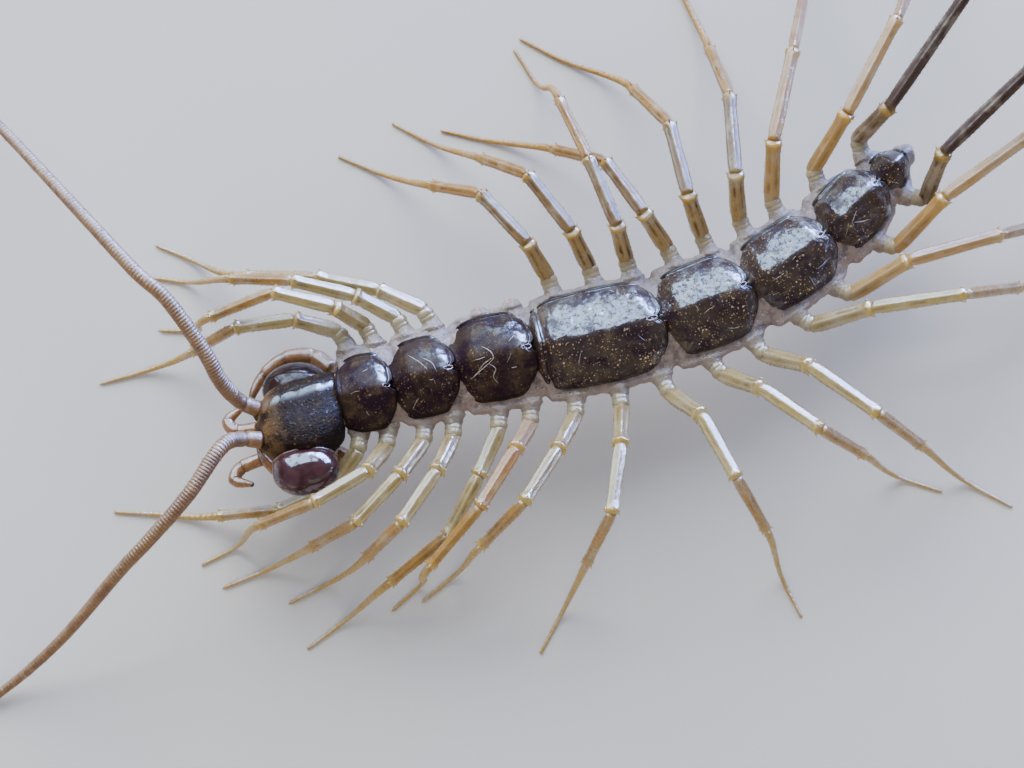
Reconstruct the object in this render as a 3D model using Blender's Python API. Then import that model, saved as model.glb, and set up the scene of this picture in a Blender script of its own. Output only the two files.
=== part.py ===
"""House centipede, a still life-size model standing on its legs.

Metres, +Z up. The head points to -X and the tail to +X, so the animal's left side is -Y.
The origin is under the middle of the whole model, on the floor.
Sizes below are in millimetres and MM turns them into metres.
"""
import math
from collections import namedtuple

import bmesh
import bpy
from mathutils import Matrix, Vector

MM = 0.001
SHARP_ANGLE = math.radians(40)

# Clearances between neighbouring pieces
GAP = 0.3
HALF_GAP = GAP / 2

# Trunk: the line of the body over the floor
NECK_PLACE = (-5.45, 1.98)
MODEL_CENTRE = (6.90, 7.80)
BELLY_HEIGHT = 1.85
FLANK_HEIGHT = 2.7
RIM_HEIGHT = 3.25
BACK_HEIGHT = 4.25
BODY_SAG = 0.25

# One row for each back plate from the neck to the tail: length along the body, width of the
# plate, heading of the body in degrees, where its legs stand as shares of its length
Plate = namedtuple("Plate", "length width heading front_width legs")
PLATES = (
    Plate(1.75, 2.65, -13, 0.80, (0.24, 0.77)),
    Plate(2.20, 2.90, -9, 0.78, (0.36, 0.80)),
    Plate(2.75, 3.15, -10, 0.80, (0.42, 0.82)),
    Plate(4.45, 3.40, -10, 0.93, (0.24, 0.57, 0.88)),
    Plate(3.20, 3.20, -1, 0.88, (0.36, 0.80)),
    Plate(3.20, 2.90, 12, 0.88, (0.30, 0.76)),
    Plate(2.60, 2.45, 24, 0.86, (0.46,)),
    Plate(1.25, 1.60, 26, 0.90, (0.36,)),
)
PLATE_THICKNESS = 0.45
PLATE_EDGE = 0.22
PLATE_RIM = 0.07
FLANK_MARGIN = 0.08
NOTCH_DEPTH = 0.28
NOTCH_WIDTH = 0.16
SADDLE_HEIGHT = 0.12
COLLAR_PLATE = 3
COLLAR_DEPTH = 0.09
FRONT_DIP = 0.10
LOBE_BOW = 0.30
FRONT_BOW = 0.22
# Rounded tail end: distance behind the last plate and size against the last full ring
TAIL_END = ((0.25, 0.80), (0.60, 0.52), (0.82, 0.22))
TAIL_TAPER = 0.45
# Half of the trunk's cross-section from belly to back: share of its half-width, height
TRUNK_PROFILE = (
    (0.00, BELLY_HEIGHT),
    (0.55, BELLY_HEIGHT + 0.05),
    (0.92, FLANK_HEIGHT - 0.40),
    (1.00, FLANK_HEIGHT + 0.05),
    (0.95, RIM_HEIGHT - 0.05),
    (0.62, RIM_HEIGHT + 0.40),
    (0.00, BACK_HEIGHT - 0.32),
)
# Where a plate's grid lines run: across it from left to right, and along it from front to rear
PLATE_COLUMNS = (-1.0, -0.88, -0.62, -0.30, -0.10, 0.10, 0.30, 0.62, 0.88, 1.0)
PLATE_ROWS = (0.0, 0.05, 0.16, 0.45, 0.75, 0.90, 1.0)

# Head: sizes, and how it is turned and rolled to bring the left eye up
HEAD_REACH = 1.50
HEAD_SIDE = -0.95
HEAD_MIDDLE = 3.20
HEAD_WIDTH = 2.90
HEAD_RISE = 1.15
HEAD_DEPTH = 1.05
HEAD_HEADING = -13
HEAD_ROLL = 24
HEAD_SIDES = 18
# Rows of the head from neck to brow: place forward of its middle, shift towards the neck, then
# shares of its width, rise and depth
HEAD_ROWS = (
    (-1.27, 0.55, 0.60, 0.62, 0.62),
    (-1.16, 0.50, 0.80, 0.80, 0.72),
    (-0.75, 0.20, 0.95, 0.95, 0.86),
    (-0.10, 0.00, 1.00, 1.00, 0.96),
    (0.55, 0.00, 0.93, 0.95, 1.00),
    (1.05, 0.00, 0.76, 0.78, 0.92),
    (1.36, 0.00, 0.52, 0.52, 0.76),
    (1.50, 0.00, 0.28, 0.22, 0.50),
)

# Eyes: half sizes and the place of their middles in the head
EYE_HALF_SIZES = (1.15, 0.85, 0.92)
EYE_PLACE = (0.08, 1.66, -0.25)

# Feelers, poison claws and palps. Their lines are steps forward, to the animal's right and up:
# feelers and claws from the neck, palps and sockets from the middle of the rolled head
ANTENNA_PLACE = (1.40, 0.62, 0.42)
ANTENNA_RADIUS = 0.26
ANTENNA_TIP_RADIUS = 0.13
ANTENNA_SHARES = (0.0, 0.22, 0.58, 1.0)
LEFT_ANTENNA_LINE = (
    (3.50, -1.25, 0.90), (4.00, -1.35, 1.50), (4.50, -1.80, 1.75), (5.50, -2.90, 1.70),
    (7.00, -4.10, 1.20), (8.30, -5.00, 0.50), (10.80, -6.80, -1.40), (13.40, -8.20, -2.90),
    (17.00, -9.80, -3.07), (21.00, -11.00, -3.07),
)
RIGHT_ANTENNA_LINE = (
    (3.50, 0.15, 0.60), (3.95, 0.80, 1.40), (4.30, 1.75, 2.05), (5.20, 3.50, 2.80),
    (6.10, 4.60, 3.00), (7.70, 7.00, 2.40), (10.20, 10.80, 0.30), (12.50, 14.00, -1.90),
    (14.50, 17.50, -3.00), (17.00, 21.00, -3.07),
)
THROAT_SIDE = -0.45
CLAW_LINE = (
    (0.25, 1.45, -1.52), (0.90, 2.05, -1.98), (1.80, 2.15, -2.10), (2.60, 1.75, -2.15),
    (3.10, 1.15, -2.10), (3.25, 0.60, -2.05),
)
CLAW_RADII = (0.32, 0.36, 0.34, 0.27, 0.19, 0.06)
PALP_LINE = (
    (1.60, 0.62, -0.80), (2.30, 0.75, -0.95), (2.55, 1.20, -0.95), (2.00, 1.55, -0.80),
)
PALP_RADII = (0.24, 0.24, 0.22, 0.12)
# How deep the flat-ended stubs that carry these pieces sink into the head and the trunk
PALP_STUB_DEPTH = 0.60
CLAW_STUB_DEPTH = 0.90
STUB_SIDES = 8
SOCKET_DEPTH = 0.75
SOCKET_RADII = (0.42, 0.32)
# Grid of the eyes: points round each one, and rows from its inner to its outer end
EYE_SIDES = 14
EYE_ROWS = 8
# Rings in each length of a feeler, and how far its blunt end reaches
ANTENNA_RINGS = (7, 9, 9)
ANTENNA_END = 0.25
CURVE_STEPS = 6

# Legs: sizes of each joint piece of leg n grow by the second number from one pair to the next
PREFEMUR = (1.55, 0.04)
FEMUR = (2.00, 0.06)
TIBIA = (2.45, 0.06)
TARSUS = (3.60, 0.06)
REAR_GROWTH = 0.08
FIRST_REAR_LEG = 11
LAST_LEG = 15
LAST_LEG_STRETCH = (1.15, 2.2, 2.1, 3.4)
PREFEMUR_RADIUS = 0.30
FEMUR_RADIUS = 0.26
TIBIA_RADIUS = 0.25
TARSUS_RADIUS = 0.25
FOOT_RADIUS = 0.09
LEG_SIDES = 6
COXA_SIDES = 8
SPUR_LENGTH = 0.22
COXA_REACH = 0.24
COXA_RADIUS = 0.34
COXA_ROOT_SHARE = 0.225
COXA_ROOT_SIZE = (0.30, 0.34)
COXA_MIDDLE_SIZE = (0.38, 0.44)
HIP_FACE_RADIUS = 0.30
HIP_SHIFT = 0.05
HIP_HEIGHT = 2.80
HIP_OUT = 0.75
HIP_LEAN = 0.40
HIP_RISE = 0.10
LOST_LEG_SWING = 30
TROCHANTER = 0.26
# Along a leg piece behind its knob: share of its length and of its radius
PIECE_SHAPE = ((0.22, 1.0), (0.72, 0.90))
PIECE_NECK = 0.78
KNOB_LENGTH = 0.16
# Size of the knob at the end of the first three pieces
KNOB_SWELLS = (1.12, 1.15, 1.10)
# Rings along the foot from the ankle, how much it thins, and how much of it lies on the floor
FOOT_RINGS = (0.06, 0.28, 0.52, 0.76, 1.0)
FOOT_THINNING = 0.38
FOOT_LIE = 0.24
FOOT_AXIS_HEIGHT = TARSUS_RADIUS * (1 - FOOT_THINNING) / 2
FOOT_HANDLE = 0.30

# How each leg stands, in degrees. Swing is the way the first piece points, seen from above:
# 0 straight out from the body's side, positive towards the head. The three turns swing the next
# pieces further. Rise is the slope of the first piece, and pitch that of the second and third.
Pose = namedtuple("Pose", "swing femur_turn tibia_turn tarsus_turn rise femur_pitch tibia_pitch")
LEFT_POSES = {
    1: Pose(60, 30, 20, 5, -20, -15, -30),
    2: Pose(55, 25, 15, -10, 45, 12, -40),
    3: Pose(55, 10, 25, 0, 28, 0, -50),
    4: Pose(45, 10, 20, 10, 35, 15, -55),
    5: Pose(45, 5, 25, 0, 5, -10, -25),
    6: Pose(48, 5, 11, 6, 50, 10, -27),
    7: Pose(48, 5, 18, 2, 38, 25, -48),
    8: Pose(25, 5, 20, 0, 40, 15, -55),
    9: Pose(-25, 20, -10, 10, 45, 15, -50),
    10: Pose(-40, 10, -20, 0, 45, 20, -55),
    11: Pose(-45, 15, -15, 5, 45, 15, -55),
    12: Pose(-80, 5, -10, 15, 35, 10, -50),
    13: Pose(-95, 10, -5, 10, 40, -10, -45),
    14: Pose(-112, 8, 0, 5, 45, 0, -45),
    15: Pose(-140, 29, 0, 5, 60, 15, -20),
}
RIGHT_POSES = {
    1: Pose(55, 20, 12, -3, 15, -6, -48),
    2: Pose(44, 11, 30, -18, 47, 5, -26),
    3: Pose(43, 12, 5, 0, 19, 4, -33),
    4: Pose(43, 12, 8, -17, -8, -6, -22),
    7: Pose(15, 5, 25, 0, 50, -10, -50),
    8: Pose(10, 5, 20, 5, 50, -5, -50),
    9: Pose(0, 0, 0, 10, 60, -5, -30),
    10: Pose(20, -10, 30, 15, 50, -25, -50),
    11: Pose(5, -15, 20, 30, 55, -20, -50),
    12: Pose(-10, -10, 10, 10, 60, -20, -50),
    13: Pose(-20, -15, 0, 0, 50, -10, -40),
    14: Pose(-55, 5, 5, 5, 50, 0, -40),
    15: Pose(-75, 18, 0, 0, 65, 15, -20),
}
LOST_LEGS = (("right", 5), ("right", 6))

# Colours, roughness and metallic value of each finish
FINISHES = {
    "back_plates": ((0.060, 0.036, 0.030), 0.28, 0.0),
    "eye": ((0.045, 0.018, 0.028), 0.12, 0.0),
    "pale_leg": ((0.560, 0.440, 0.250), 0.35, 0.0),
    "amber_feeler": ((0.480, 0.270, 0.110), 0.40, 0.0),
    "dark_leg": ((0.210, 0.120, 0.075), 0.35, 0.0),
}


def clear_scene():
    """Empties the file of whatever it opened with."""
    for thing in list(bpy.data.objects):
        bpy.data.objects.remove(thing, do_unlink=True)


def finish(thing, finish_name):
    """Gives a finished piece its own material and smooth shading between its sharp edges."""
    colour, roughness, metallic = FINISHES[finish_name]
    material = bpy.data.materials.new(thing.name)
    material.use_nodes = True
    shader = material.node_tree.nodes["Principled BSDF"]
    shader.inputs["Base Color"].default_value = (*colour, 1.0)
    shader.inputs["Roughness"].default_value = roughness
    shader.inputs["Metallic"].default_value = metallic
    material.diffuse_color = (*colour, 1.0)
    thing.data.materials.clear()
    thing.data.materials.append(material)
    thing.data.shade_smooth()
    thing.data.set_sharp_from_angle(angle=SHARP_ANGLE)


def seat(thing, place, parent):
    """Puts a piece's own origin at its root and hangs the piece on the model's middle."""
    root = place * MM
    thing.data.transform(Matrix.Translation(-root))
    thing.location = root
    thing.parent = parent


def loft(name, rings):
    """A closed body through a row of rings; a ring of one point closes an end as a tip."""
    mesh = bmesh.new()
    rows = [[mesh.verts.new(point * MM) for point in ring] for ring in rings]
    for first, second in zip(rows, rows[1:]):
        bridge(mesh, first, second)
    if len(rows[0]) > 1:
        mesh.faces.new(rows[0])
    if len(rows[-1]) > 1:
        mesh.faces.new(list(reversed(rows[-1])))
    return to_object(mesh, name)


def bridge(mesh, first, second):
    """Faces between two rings, either of which may be a single point."""
    count = max(len(first), len(second))
    for i in range(count):
        j = (i + 1) % count
        if len(second) == 1:
            mesh.faces.new((first[j], first[i], second[0]))
        elif len(first) == 1:
            mesh.faces.new((first[0], second[i], second[j]))
        else:
            mesh.faces.new((first[j], first[i], second[i], second[j]))


def to_object(mesh, name):
    """Turns a bmesh into a named object with its faces facing out."""
    bmesh.ops.recalc_face_normals(mesh, faces=mesh.faces)
    data = bpy.data.meshes.new(name)
    mesh.to_mesh(data)
    mesh.free()
    thing = bpy.data.objects.new(name, data)
    bpy.context.collection.objects.link(thing)
    return thing


def fuse(name, pieces):
    """Joins closed pieces into one body and keeps its largest closed surface."""
    group = bpy.data.collections.new(name + "_pieces")
    for piece in pieces[1:]:
        group.objects.link(piece)
    body = pieces[0]
    body.name = name
    join = body.modifiers.new("join", "BOOLEAN")
    join.operation = "UNION"
    join.operand_type = "COLLECTION"
    join.collection = group
    join.solver = "EXACT"
    joined = bpy.data.meshes.new_from_object(body.evaluated_get(bpy.context.evaluated_depsgraph_get()))
    body.modifiers.clear()
    for piece in pieces[1:]:
        bpy.data.objects.remove(piece, do_unlink=True)
    bpy.data.collections.remove(group)
    body.data = joined
    keep_largest(joined)
    return body


def keep_largest(data):
    """Drops every closed surface of a mesh but the one that spans most."""
    mesh = bmesh.new()
    mesh.from_mesh(data)
    bmesh.ops.remove_doubles(mesh, verts=mesh.verts, dist=0.00001)
    left = set(mesh.verts)
    groups = []
    while left:
        seed = left.pop()
        group = {seed}
        front = [seed]
        while front:
            for edge in front.pop().link_edges:
                for vertex in edge.verts:
                    if vertex in left:
                        left.remove(vertex)
                        group.add(vertex)
                        front.append(vertex)
        groups.append(group)
    groups.sort(key=len)
    for group in groups[:-1]:
        bmesh.ops.delete(mesh, geom=list(group), context="VERTS")
    mesh.to_mesh(data)
    mesh.free()


# The line of the body

def trunk_length():
    """Length of the body behind the neck."""
    return sum(plate.length for plate in PLATES)


def heading_at(station):
    """Heading of the body in radians, read smoothly between the middles of the plates."""
    marks = []
    start = 0.0
    for plate in PLATES:
        marks.append((start + plate.length / 2, plate.heading))
        start += plate.length
    if station <= marks[0][0]:
        return math.radians(marks[0][1])
    for (place_a, turn_a), (place_b, turn_b) in zip(marks, marks[1:]):
        if station <= place_b:
            share = (station - place_a) / (place_b - place_a)
            return math.radians(turn_a + (turn_b - turn_a) * share)
    return math.radians(marks[-1][1])


def spine_point(station):
    """Place of the body's middle line over the floor, from the neck (0) towards the tail."""
    steps = max(1, round(abs(station) / 0.1))
    stride = station / steps
    x, y = NECK_PLACE
    for i in range(steps):
        turn = heading_at((i + 0.5) * stride)
        x += math.cos(turn) * stride
        y += math.sin(turn) * stride
    return x, y


def body_lift(station):
    """The trunk hangs a little lower at both ends."""
    share = min(max(station / trunk_length(), 0.0), 1.0)
    return BODY_SAG * math.sin(math.pi * share)


def on_body(station, side, height):
    """A point beside the body's middle line: side is positive to the animal's right."""
    x, y = spine_point(station)
    turn = heading_at(station)
    lift = body_lift(station)
    return Vector((x - math.sin(turn) * side, y + math.cos(turn) * side, height + lift))


def width_at(station):
    """Width of the plates, read smoothly from one to the next."""
    marks = []
    start = 0.0
    for plate in PLATES:
        marks.append((start + plate.length / 2, plate.width))
        start += plate.length
    if station <= marks[0][0]:
        return marks[0][1]
    for (place_a, wide_a), (place_b, wide_b) in zip(marks, marks[1:]):
        if station <= place_b:
            return wide_a + (wide_b - wide_a) * (station - place_a) / (place_b - place_a)
    place, wide = marks[-1]
    tail = (station - place) / (trunk_length() - place)
    return wide * (1 - TAIL_TAPER * tail)


# Trunk

def trunk_ring(station, shrink=1.0):
    """Cross-section of the soft body under the plates: flat belly, full flanks, low back."""
    reach = (width_at(station) / 2 + FLANK_MARGIN) * shrink
    middle = (BELLY_HEIGHT + BACK_HEIGHT) / 2
    right = []
    left = []
    for share, height in TRUNK_PROFILE:
        level = middle + (height - middle) * shrink
        right.append(on_body(station, share * reach, level))
        left.append(on_body(station, -share * reach, level))
    return right + list(reversed(left[1:-1]))


def trunk_core(index, start, end):
    """The soft body of one length; the last one tapers to the rounded tail end."""
    rings = []
    count = max(3, round((end - start) / 0.8) + 1)
    for i in range(count):
        station = start + HALF_GAP + (end - start - GAP) * i / (count - 1)
        rings.append(trunk_ring(station))
    if index == len(PLATES) - 1:
        for beyond, shrink in TAIL_END:
            rings.append(trunk_ring(end + beyond, shrink))
    return loft("core", rings)


def plate_outline(plate, along):
    """Half-width of a plate as a share of its widest, from its front (0) to its rear (1)."""
    front = plate.front_width + (1 - plate.front_width) * min(along / 0.55, 1.0)
    corner = abs(2 * along - 1) ** 7
    return front * (1 - 0.20 * corner)


def plate_top(index, across, along):
    """Height of a plate's outer face: an arch with a raised rim, a collar and a rear saddle."""
    arch = 1 - abs(across) ** 2.1
    height = RIM_HEIGHT + (BACK_HEIGHT - RIM_HEIGHT) * arch
    height += PLATE_RIM * max(0.0, (abs(across) - 0.8) / 0.2)
    height += SADDLE_HEIGHT * math.exp(-((across / 0.22) ** 2) - ((along - 0.92) / 0.08) ** 2)
    height -= FRONT_DIP * (1 - min(along / 0.25, 1.0))
    if index == COLLAR_PLATE:
        height -= COLLAR_DEPTH * math.exp(-((along - 0.09) / 0.03) ** 2)
    return height


def back_plate(plate, index, start):
    """The shell plate over one trunk length, with rounded lobes beside a notch at the rear."""
    span = plate.length - GAP
    top = []
    under = []
    for along in PLATE_ROWS:
        half = plate.width / 2 * plate_outline(plate, along)
        line = []
        low_line = []
        for across in PLATE_COLUMNS:
            bow = LOBE_BOW * abs(across) ** 2.5
            rear = bow + NOTCH_DEPTH * math.exp(-((across / NOTCH_WIDTH) ** 2))
            shift = -rear * max(0.0, (along - 0.5) / 0.5) ** 2
            shift += FRONT_BOW * abs(across) ** 3 * max(0.0, (0.5 - along) / 0.5) ** 2
            station = start + HALF_GAP + span * along + shift
            height = plate_top(index, across, along)
            line.append(on_body(station, across * half, height))
            depth = PLATE_THICKNESS + (PLATE_EDGE - PLATE_THICKNESS) * abs(across) ** 3
            low_line.append(on_body(station, across * half * 0.97, height - depth))
        top.append(line)
        under.append(low_line)
    return slab("plate", top, under)


def slab(name, top, under):
    """A closed sheet between two grids of points of the same size."""
    mesh = bmesh.new()
    high = [[mesh.verts.new(point * MM) for point in line] for line in top]
    low = [[mesh.verts.new(point * MM) for point in line] for line in under]
    for grid in (high, low):
        for a, b in zip(grid, grid[1:]):
            for i in range(len(a) - 1):
                mesh.faces.new((a[i], a[i + 1], b[i + 1], b[i]))
    high_edge = outline(high)
    low_edge = outline(low)
    count = len(high_edge)
    for i in range(count):
        j = (i + 1) % count
        mesh.faces.new((high_edge[i], high_edge[j], low_edge[j], low_edge[i]))
    return to_object(mesh, name)


def outline(grid):
    """The points round the edge of a grid, in order."""
    edge = list(grid[0])
    edge += [line[-1] for line in grid[1:]]
    edge += list(reversed(grid[-1][:-1]))
    edge += [line[0] for line in reversed(grid[1:-1])]
    return edge


# Legs

def unit(swing, pitch, outward):
    """Direction of a leg piece from its swing towards the head and its pitch."""
    turn = math.radians(swing)
    flat = Vector((-math.sin(turn), outward * math.cos(turn), 0.0))
    slope = math.radians(pitch)
    return (flat * math.cos(slope) + Vector((0, 0, math.sin(slope)))).normalized()


def legs_of(index):
    """Numbers and stations of the leg pairs that one plate carries."""
    first = 1 + sum(len(plate.legs) for plate in PLATES[:index])
    start = sum(plate.length for plate in PLATES[:index])
    plate = PLATES[index]
    return [(first + i, start + plate.length * share) for i, share in enumerate(plate.legs)]


def hip(station, outward, swing):
    """Outer end and direction of the short lump that carries a leg."""
    half = width_at(station) / 2
    turn = heading_at(station)
    forward = HIP_SHIFT * math.sin(math.radians(swing))
    edge = on_body(station - forward, outward * (half + COXA_REACH), HIP_HEIGHT)
    out = Vector((-math.sin(turn) * outward, math.cos(turn) * outward, 0.0))
    lean = unit(swing, 10, outward)
    return edge, (out * HIP_OUT + lean * HIP_LEAN + Vector((0, 0, HIP_RISE))).normalized()


def frame_ring(centre, direction, radius_side, radius_up, sides, phase=0.0):
    """A ring of points square to a direction, with its first axis level."""
    level = direction.cross(Vector((0, 0, 1)))
    if level.length < 0.001:
        level = Vector((0, 1, 0))
    level.normalize()
    rise = level.cross(direction).normalized()
    points = []
    for i in range(sides):
        turn = 2 * math.pi * (i + phase) / sides
        points.append(centre + level * math.cos(turn) * radius_side + rise * math.sin(turn) * radius_up)
    return points


def coxa(station, outward, swing):
    """The lump that carries a leg: it grows from the flank and ends in a flat face."""
    edge, way = hip(station, outward, swing)
    root = on_body(station, outward * width_at(station) * COXA_ROOT_SHARE, HIP_HEIGHT - 0.1)
    out = (edge - root).normalized()
    rings = [
        frame_ring(root, out, *COXA_ROOT_SIZE, COXA_SIDES),
        frame_ring(root.lerp(edge, 0.62), out, *COXA_MIDDLE_SIZE, COXA_SIDES),
        frame_ring(edge - way * KNOB_LENGTH, way, COXA_RADIUS, COXA_RADIUS, COXA_SIDES),
        frame_ring(edge, way, HIP_FACE_RADIUS, HIP_FACE_RADIUS, COXA_SIDES),
    ]
    return loft("coxa", rings)


def leg_sizes(number):
    """Lengths of the four leg pieces of one pair; the rear pairs grow faster, the last most."""
    sizes = [base + step * number for base, step in (PREFEMUR, FEMUR, TIBIA, TARSUS)]
    if number == LAST_LEG:
        return [size * factor for size, factor in zip(sizes, LAST_LEG_STRETCH)]
    growth = 1 + REAR_GROWTH * max(0, number - FIRST_REAR_LEG + 1)
    return [size * growth for size in sizes]


def leg_joints(number, station, outward, pose):
    """Places of hip, knees, ankle and tip, and the directions of the pieces between them."""
    lengths = leg_sizes(number)
    edge, way = hip(station, outward, pose.swing)
    start = edge + way * GAP
    swing = pose.swing
    prefemur = unit(swing, pose.rise, outward)
    swing += pose.femur_turn
    femur = unit(swing, pose.femur_pitch, outward)
    swing += pose.tibia_turn
    tibia = unit(swing, pose.tibia_pitch, outward)
    swing += pose.tarsus_turn
    along_floor = unit(swing, 0, outward)
    knee_one = start + way * TROCHANTER + prefemur * lengths[0]
    knee_two = knee_one + femur * lengths[1]
    ankle = knee_two + tibia * lengths[2]
    drop = ankle.z - FOOT_RADIUS
    reach = math.sqrt(max(lengths[3] ** 2 - drop ** 2, 1.0))
    tip = Vector((ankle.x, ankle.y, FOOT_RADIUS)) + along_floor * reach
    return start, way, knee_one, knee_two, ankle, tip, tibia, along_floor


def leg_ring(centre, direction, radius):
    """One ring of a leg or feeler, with a flat side up."""
    return frame_ring(centre, direction, radius, radius, LEG_SIDES, 0.5)


def crown(ring, centre, direction):
    """Pulls the upper points of a ring out into short spurs."""
    points = []
    for i, point in enumerate(ring):
        out = (point - centre).normalized()
        if i % 2 == 1:
            point = point + direction * SPUR_LENGTH * 0.8 + out * SPUR_LENGTH * 0.3
        points.append(point)
    return points


def piece_rings(start, end, radius, neck, swell):
    """Rings of one leg piece, from the narrow neck behind a joint to the spurred knob at its end."""
    way = (end - start).normalized()
    length = (end - start).length
    rings = []
    for share, factor in ((neck, PIECE_NECK), *PIECE_SHAPE):
        rings.append(leg_ring(start + way * length * share, way, radius * factor))
    knob = end - way * KNOB_LENGTH
    rings.append(crown(leg_ring(knob, way, radius * swell), knob, way))
    return rings


def tarsus_rings(ankle, tip, leave, arrive):
    """Rings of the long thin foot: it curves down and its last stretch lies on the floor."""
    span = (tip - ankle).length
    lie = tip - arrive * span * FOOT_LIE
    handle_a = ankle + leave * span * FOOT_HANDLE
    handle_b = lie - arrive * span * FOOT_HANDLE
    lie.z = FOOT_AXIS_HEIGHT
    handle_b.z = FOOT_AXIS_HEIGHT
    rings = []
    for share in FOOT_RINGS:
        point = bezier(ankle, handle_a, handle_b, lie, share)
        way = bezier_way(ankle, handle_a, handle_b, lie, share)
        rings.append(leg_ring(point, way, TARSUS_RADIUS * (1 - FOOT_THINNING * share)))
    near_tip = tip - arrive * span * 0.05
    near_tip.z = FOOT_RADIUS * 0.6
    rings.append(leg_ring(near_tip, arrive, FOOT_RADIUS * 1.3))
    rest_on_floor(rings)
    return rings + [[tip]]


def rest_on_floor(rings):
    """Flattens whatever would reach below the floor."""
    for ring in rings:
        for point in ring:
            point.z = max(point.z, 0.0)


def bezier(a, b, c, d, t):
    """Point of a cubic curve from a to d."""
    return a * (1 - t) ** 3 + b * 3 * t * (1 - t) ** 2 + c * 3 * t * t * (1 - t) + d * t ** 3


def bezier_way(a, b, c, d, t):
    """Direction of that curve."""
    way = (b - a) * (1 - t) ** 2 + (c - b) * 2 * t * (1 - t) + (d - c) * t * t
    return way.normalized()


def leg(number, station, outward, pose, name):
    """One leg: a ring by the hip, three knobbed pieces and the foot."""
    start, way, knee_one, knee_two, ankle, tip, tibia, along_floor = leg_joints(
        number, station, outward, pose)
    hip_end = start + way * TROCHANTER
    rings = [leg_ring(start, way, HIP_FACE_RADIUS),
             leg_ring(start + way * TROCHANTER * 0.6, way, COXA_RADIUS)]
    rings += piece_rings(hip_end, knee_one, PREFEMUR_RADIUS, 0.06, KNOB_SWELLS[0])
    rings += piece_rings(knee_one, knee_two, FEMUR_RADIUS, 0.05, KNOB_SWELLS[1])
    rings += piece_rings(knee_two, ankle, TIBIA_RADIUS, 0.05, KNOB_SWELLS[2])
    rings += tarsus_rings(ankle, tip, tibia, along_floor)
    return loft(name, rings)


# Head

def neck_axes():
    """The head's forward and right directions, level with the floor."""
    turn = math.radians(HEAD_HEADING)
    return Vector((-math.cos(turn), -math.sin(turn), 0)), Vector((-math.sin(turn), math.cos(turn), 0))


def neck_point(forward, side, height):
    """A point given forward and to the right of the neck, and above the head's middle height."""
    ahead, right = neck_axes()
    return Vector((*NECK_PLACE, HEAD_MIDDLE + height)) + ahead * forward + right * side


def head_point(forward, side, height):
    """A point given forward of, to the right of and above the middle of the rolled head."""
    ahead, right = neck_axes()
    roll = math.radians(HEAD_ROLL)
    up = Vector((0, 0, 1))
    rolled_right = right * math.cos(roll) - up * math.sin(roll)
    rolled_up = up * math.cos(roll) + right * math.sin(roll)
    middle = neck_point(HEAD_REACH, HEAD_SIDE, 0)
    return middle + ahead * forward + rolled_right * side + rolled_up * height


def head_ring(forward, shift, width, rise, depth):
    """A cross-section of the head: a rounded square with its own rise and depth."""
    points = []
    for i in range(HEAD_SIDES):
        turn = 2 * math.pi * i / HEAD_SIDES
        side = math.cos(turn)
        height = math.sin(turn)
        round_off = (abs(side) ** 2.5 + abs(height) ** 2.5) ** (-1 / 2.5)
        reach = rise if height > 0 else depth
        points.append(head_point(forward, shift + side * round_off * width, height * round_off * reach))
    return points


def head():
    """The head capsule with the sockets of feelers, claws and palps, hollowed for the eyes."""
    rings = []
    for forward, shift, wide, rise, depth in HEAD_ROWS:
        rings.append(head_ring(forward, shift, HEAD_WIDTH / 2 * wide, HEAD_RISE * rise,
                               HEAD_DEPTH * depth))
    pieces = [loft("capsule", rings)]
    for outward in (-1, 1):
        pieces.append(antenna_socket(outward))
        pieces.append(root_stub(palp_points(outward), PALP_RADII[0], PALP_STUB_DEPTH))
    body = fuse("head", pieces)
    for outward in (-1, 1):
        hollow = eye_ball("eye_hollow", outward, GAP)
        cut(body, hollow)
    return body


def cut(body, cutter):
    """Cuts one closed body from another for good."""
    carve = body.modifiers.new("carve", "BOOLEAN")
    carve.operation = "DIFFERENCE"
    carve.object = cutter
    carve.solver = "EXACT"
    carved = bpy.data.meshes.new_from_object(body.evaluated_get(bpy.context.evaluated_depsgraph_get()))
    body.modifiers.clear()
    bpy.data.objects.remove(cutter, do_unlink=True)
    body.data = carved
    keep_largest(carved)


def eye_ball(name, outward, grow):
    """An egg-shaped eye, or with some growth the hollow that holds it."""
    along, out, high = (half + grow for half in EYE_HALF_SIZES)
    forward, side, height = EYE_PLACE
    rings = []
    for row in range(EYE_ROWS + 1):
        slope = math.pi * row / EYE_ROWS
        ring = []
        for i in range(EYE_SIDES):
            turn = 2 * math.pi * i / EYE_SIDES
            ring.append(head_point(
                forward + along * math.sin(slope) * math.cos(turn),
                outward * (side - out * math.cos(slope)),
                height + high * math.sin(slope) * math.sin(turn)))
        rings.append(ring if 0 < row < EYE_ROWS else [ring[0]])
    return loft(name, rings)


def palp_points(outward):
    """The line of one palp, carried by the head."""
    return [head_point(forward, side * outward, height) for forward, side, height in PALP_LINE]


def claw_points(outward):
    """The line of one poison claw, carried by the first trunk length under the head."""
    return [neck_point(forward, THROAT_SIDE + side * outward, height)
            for forward, side, height in CLAW_LINE]


def root_stub(points, radius, depth):
    """A stub that sinks into the head and ends in a flat face a gap before a line begins."""
    way = (points[1] - points[0]).normalized()
    face = points[0] - way * GAP
    inner = radius * 1.1
    rings = [frame_ring(face - way * depth, way, inner, inner, STUB_SIDES),
             frame_ring(face, way, radius, radius, STUB_SIDES)]
    return loft("stub", rings)


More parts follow.
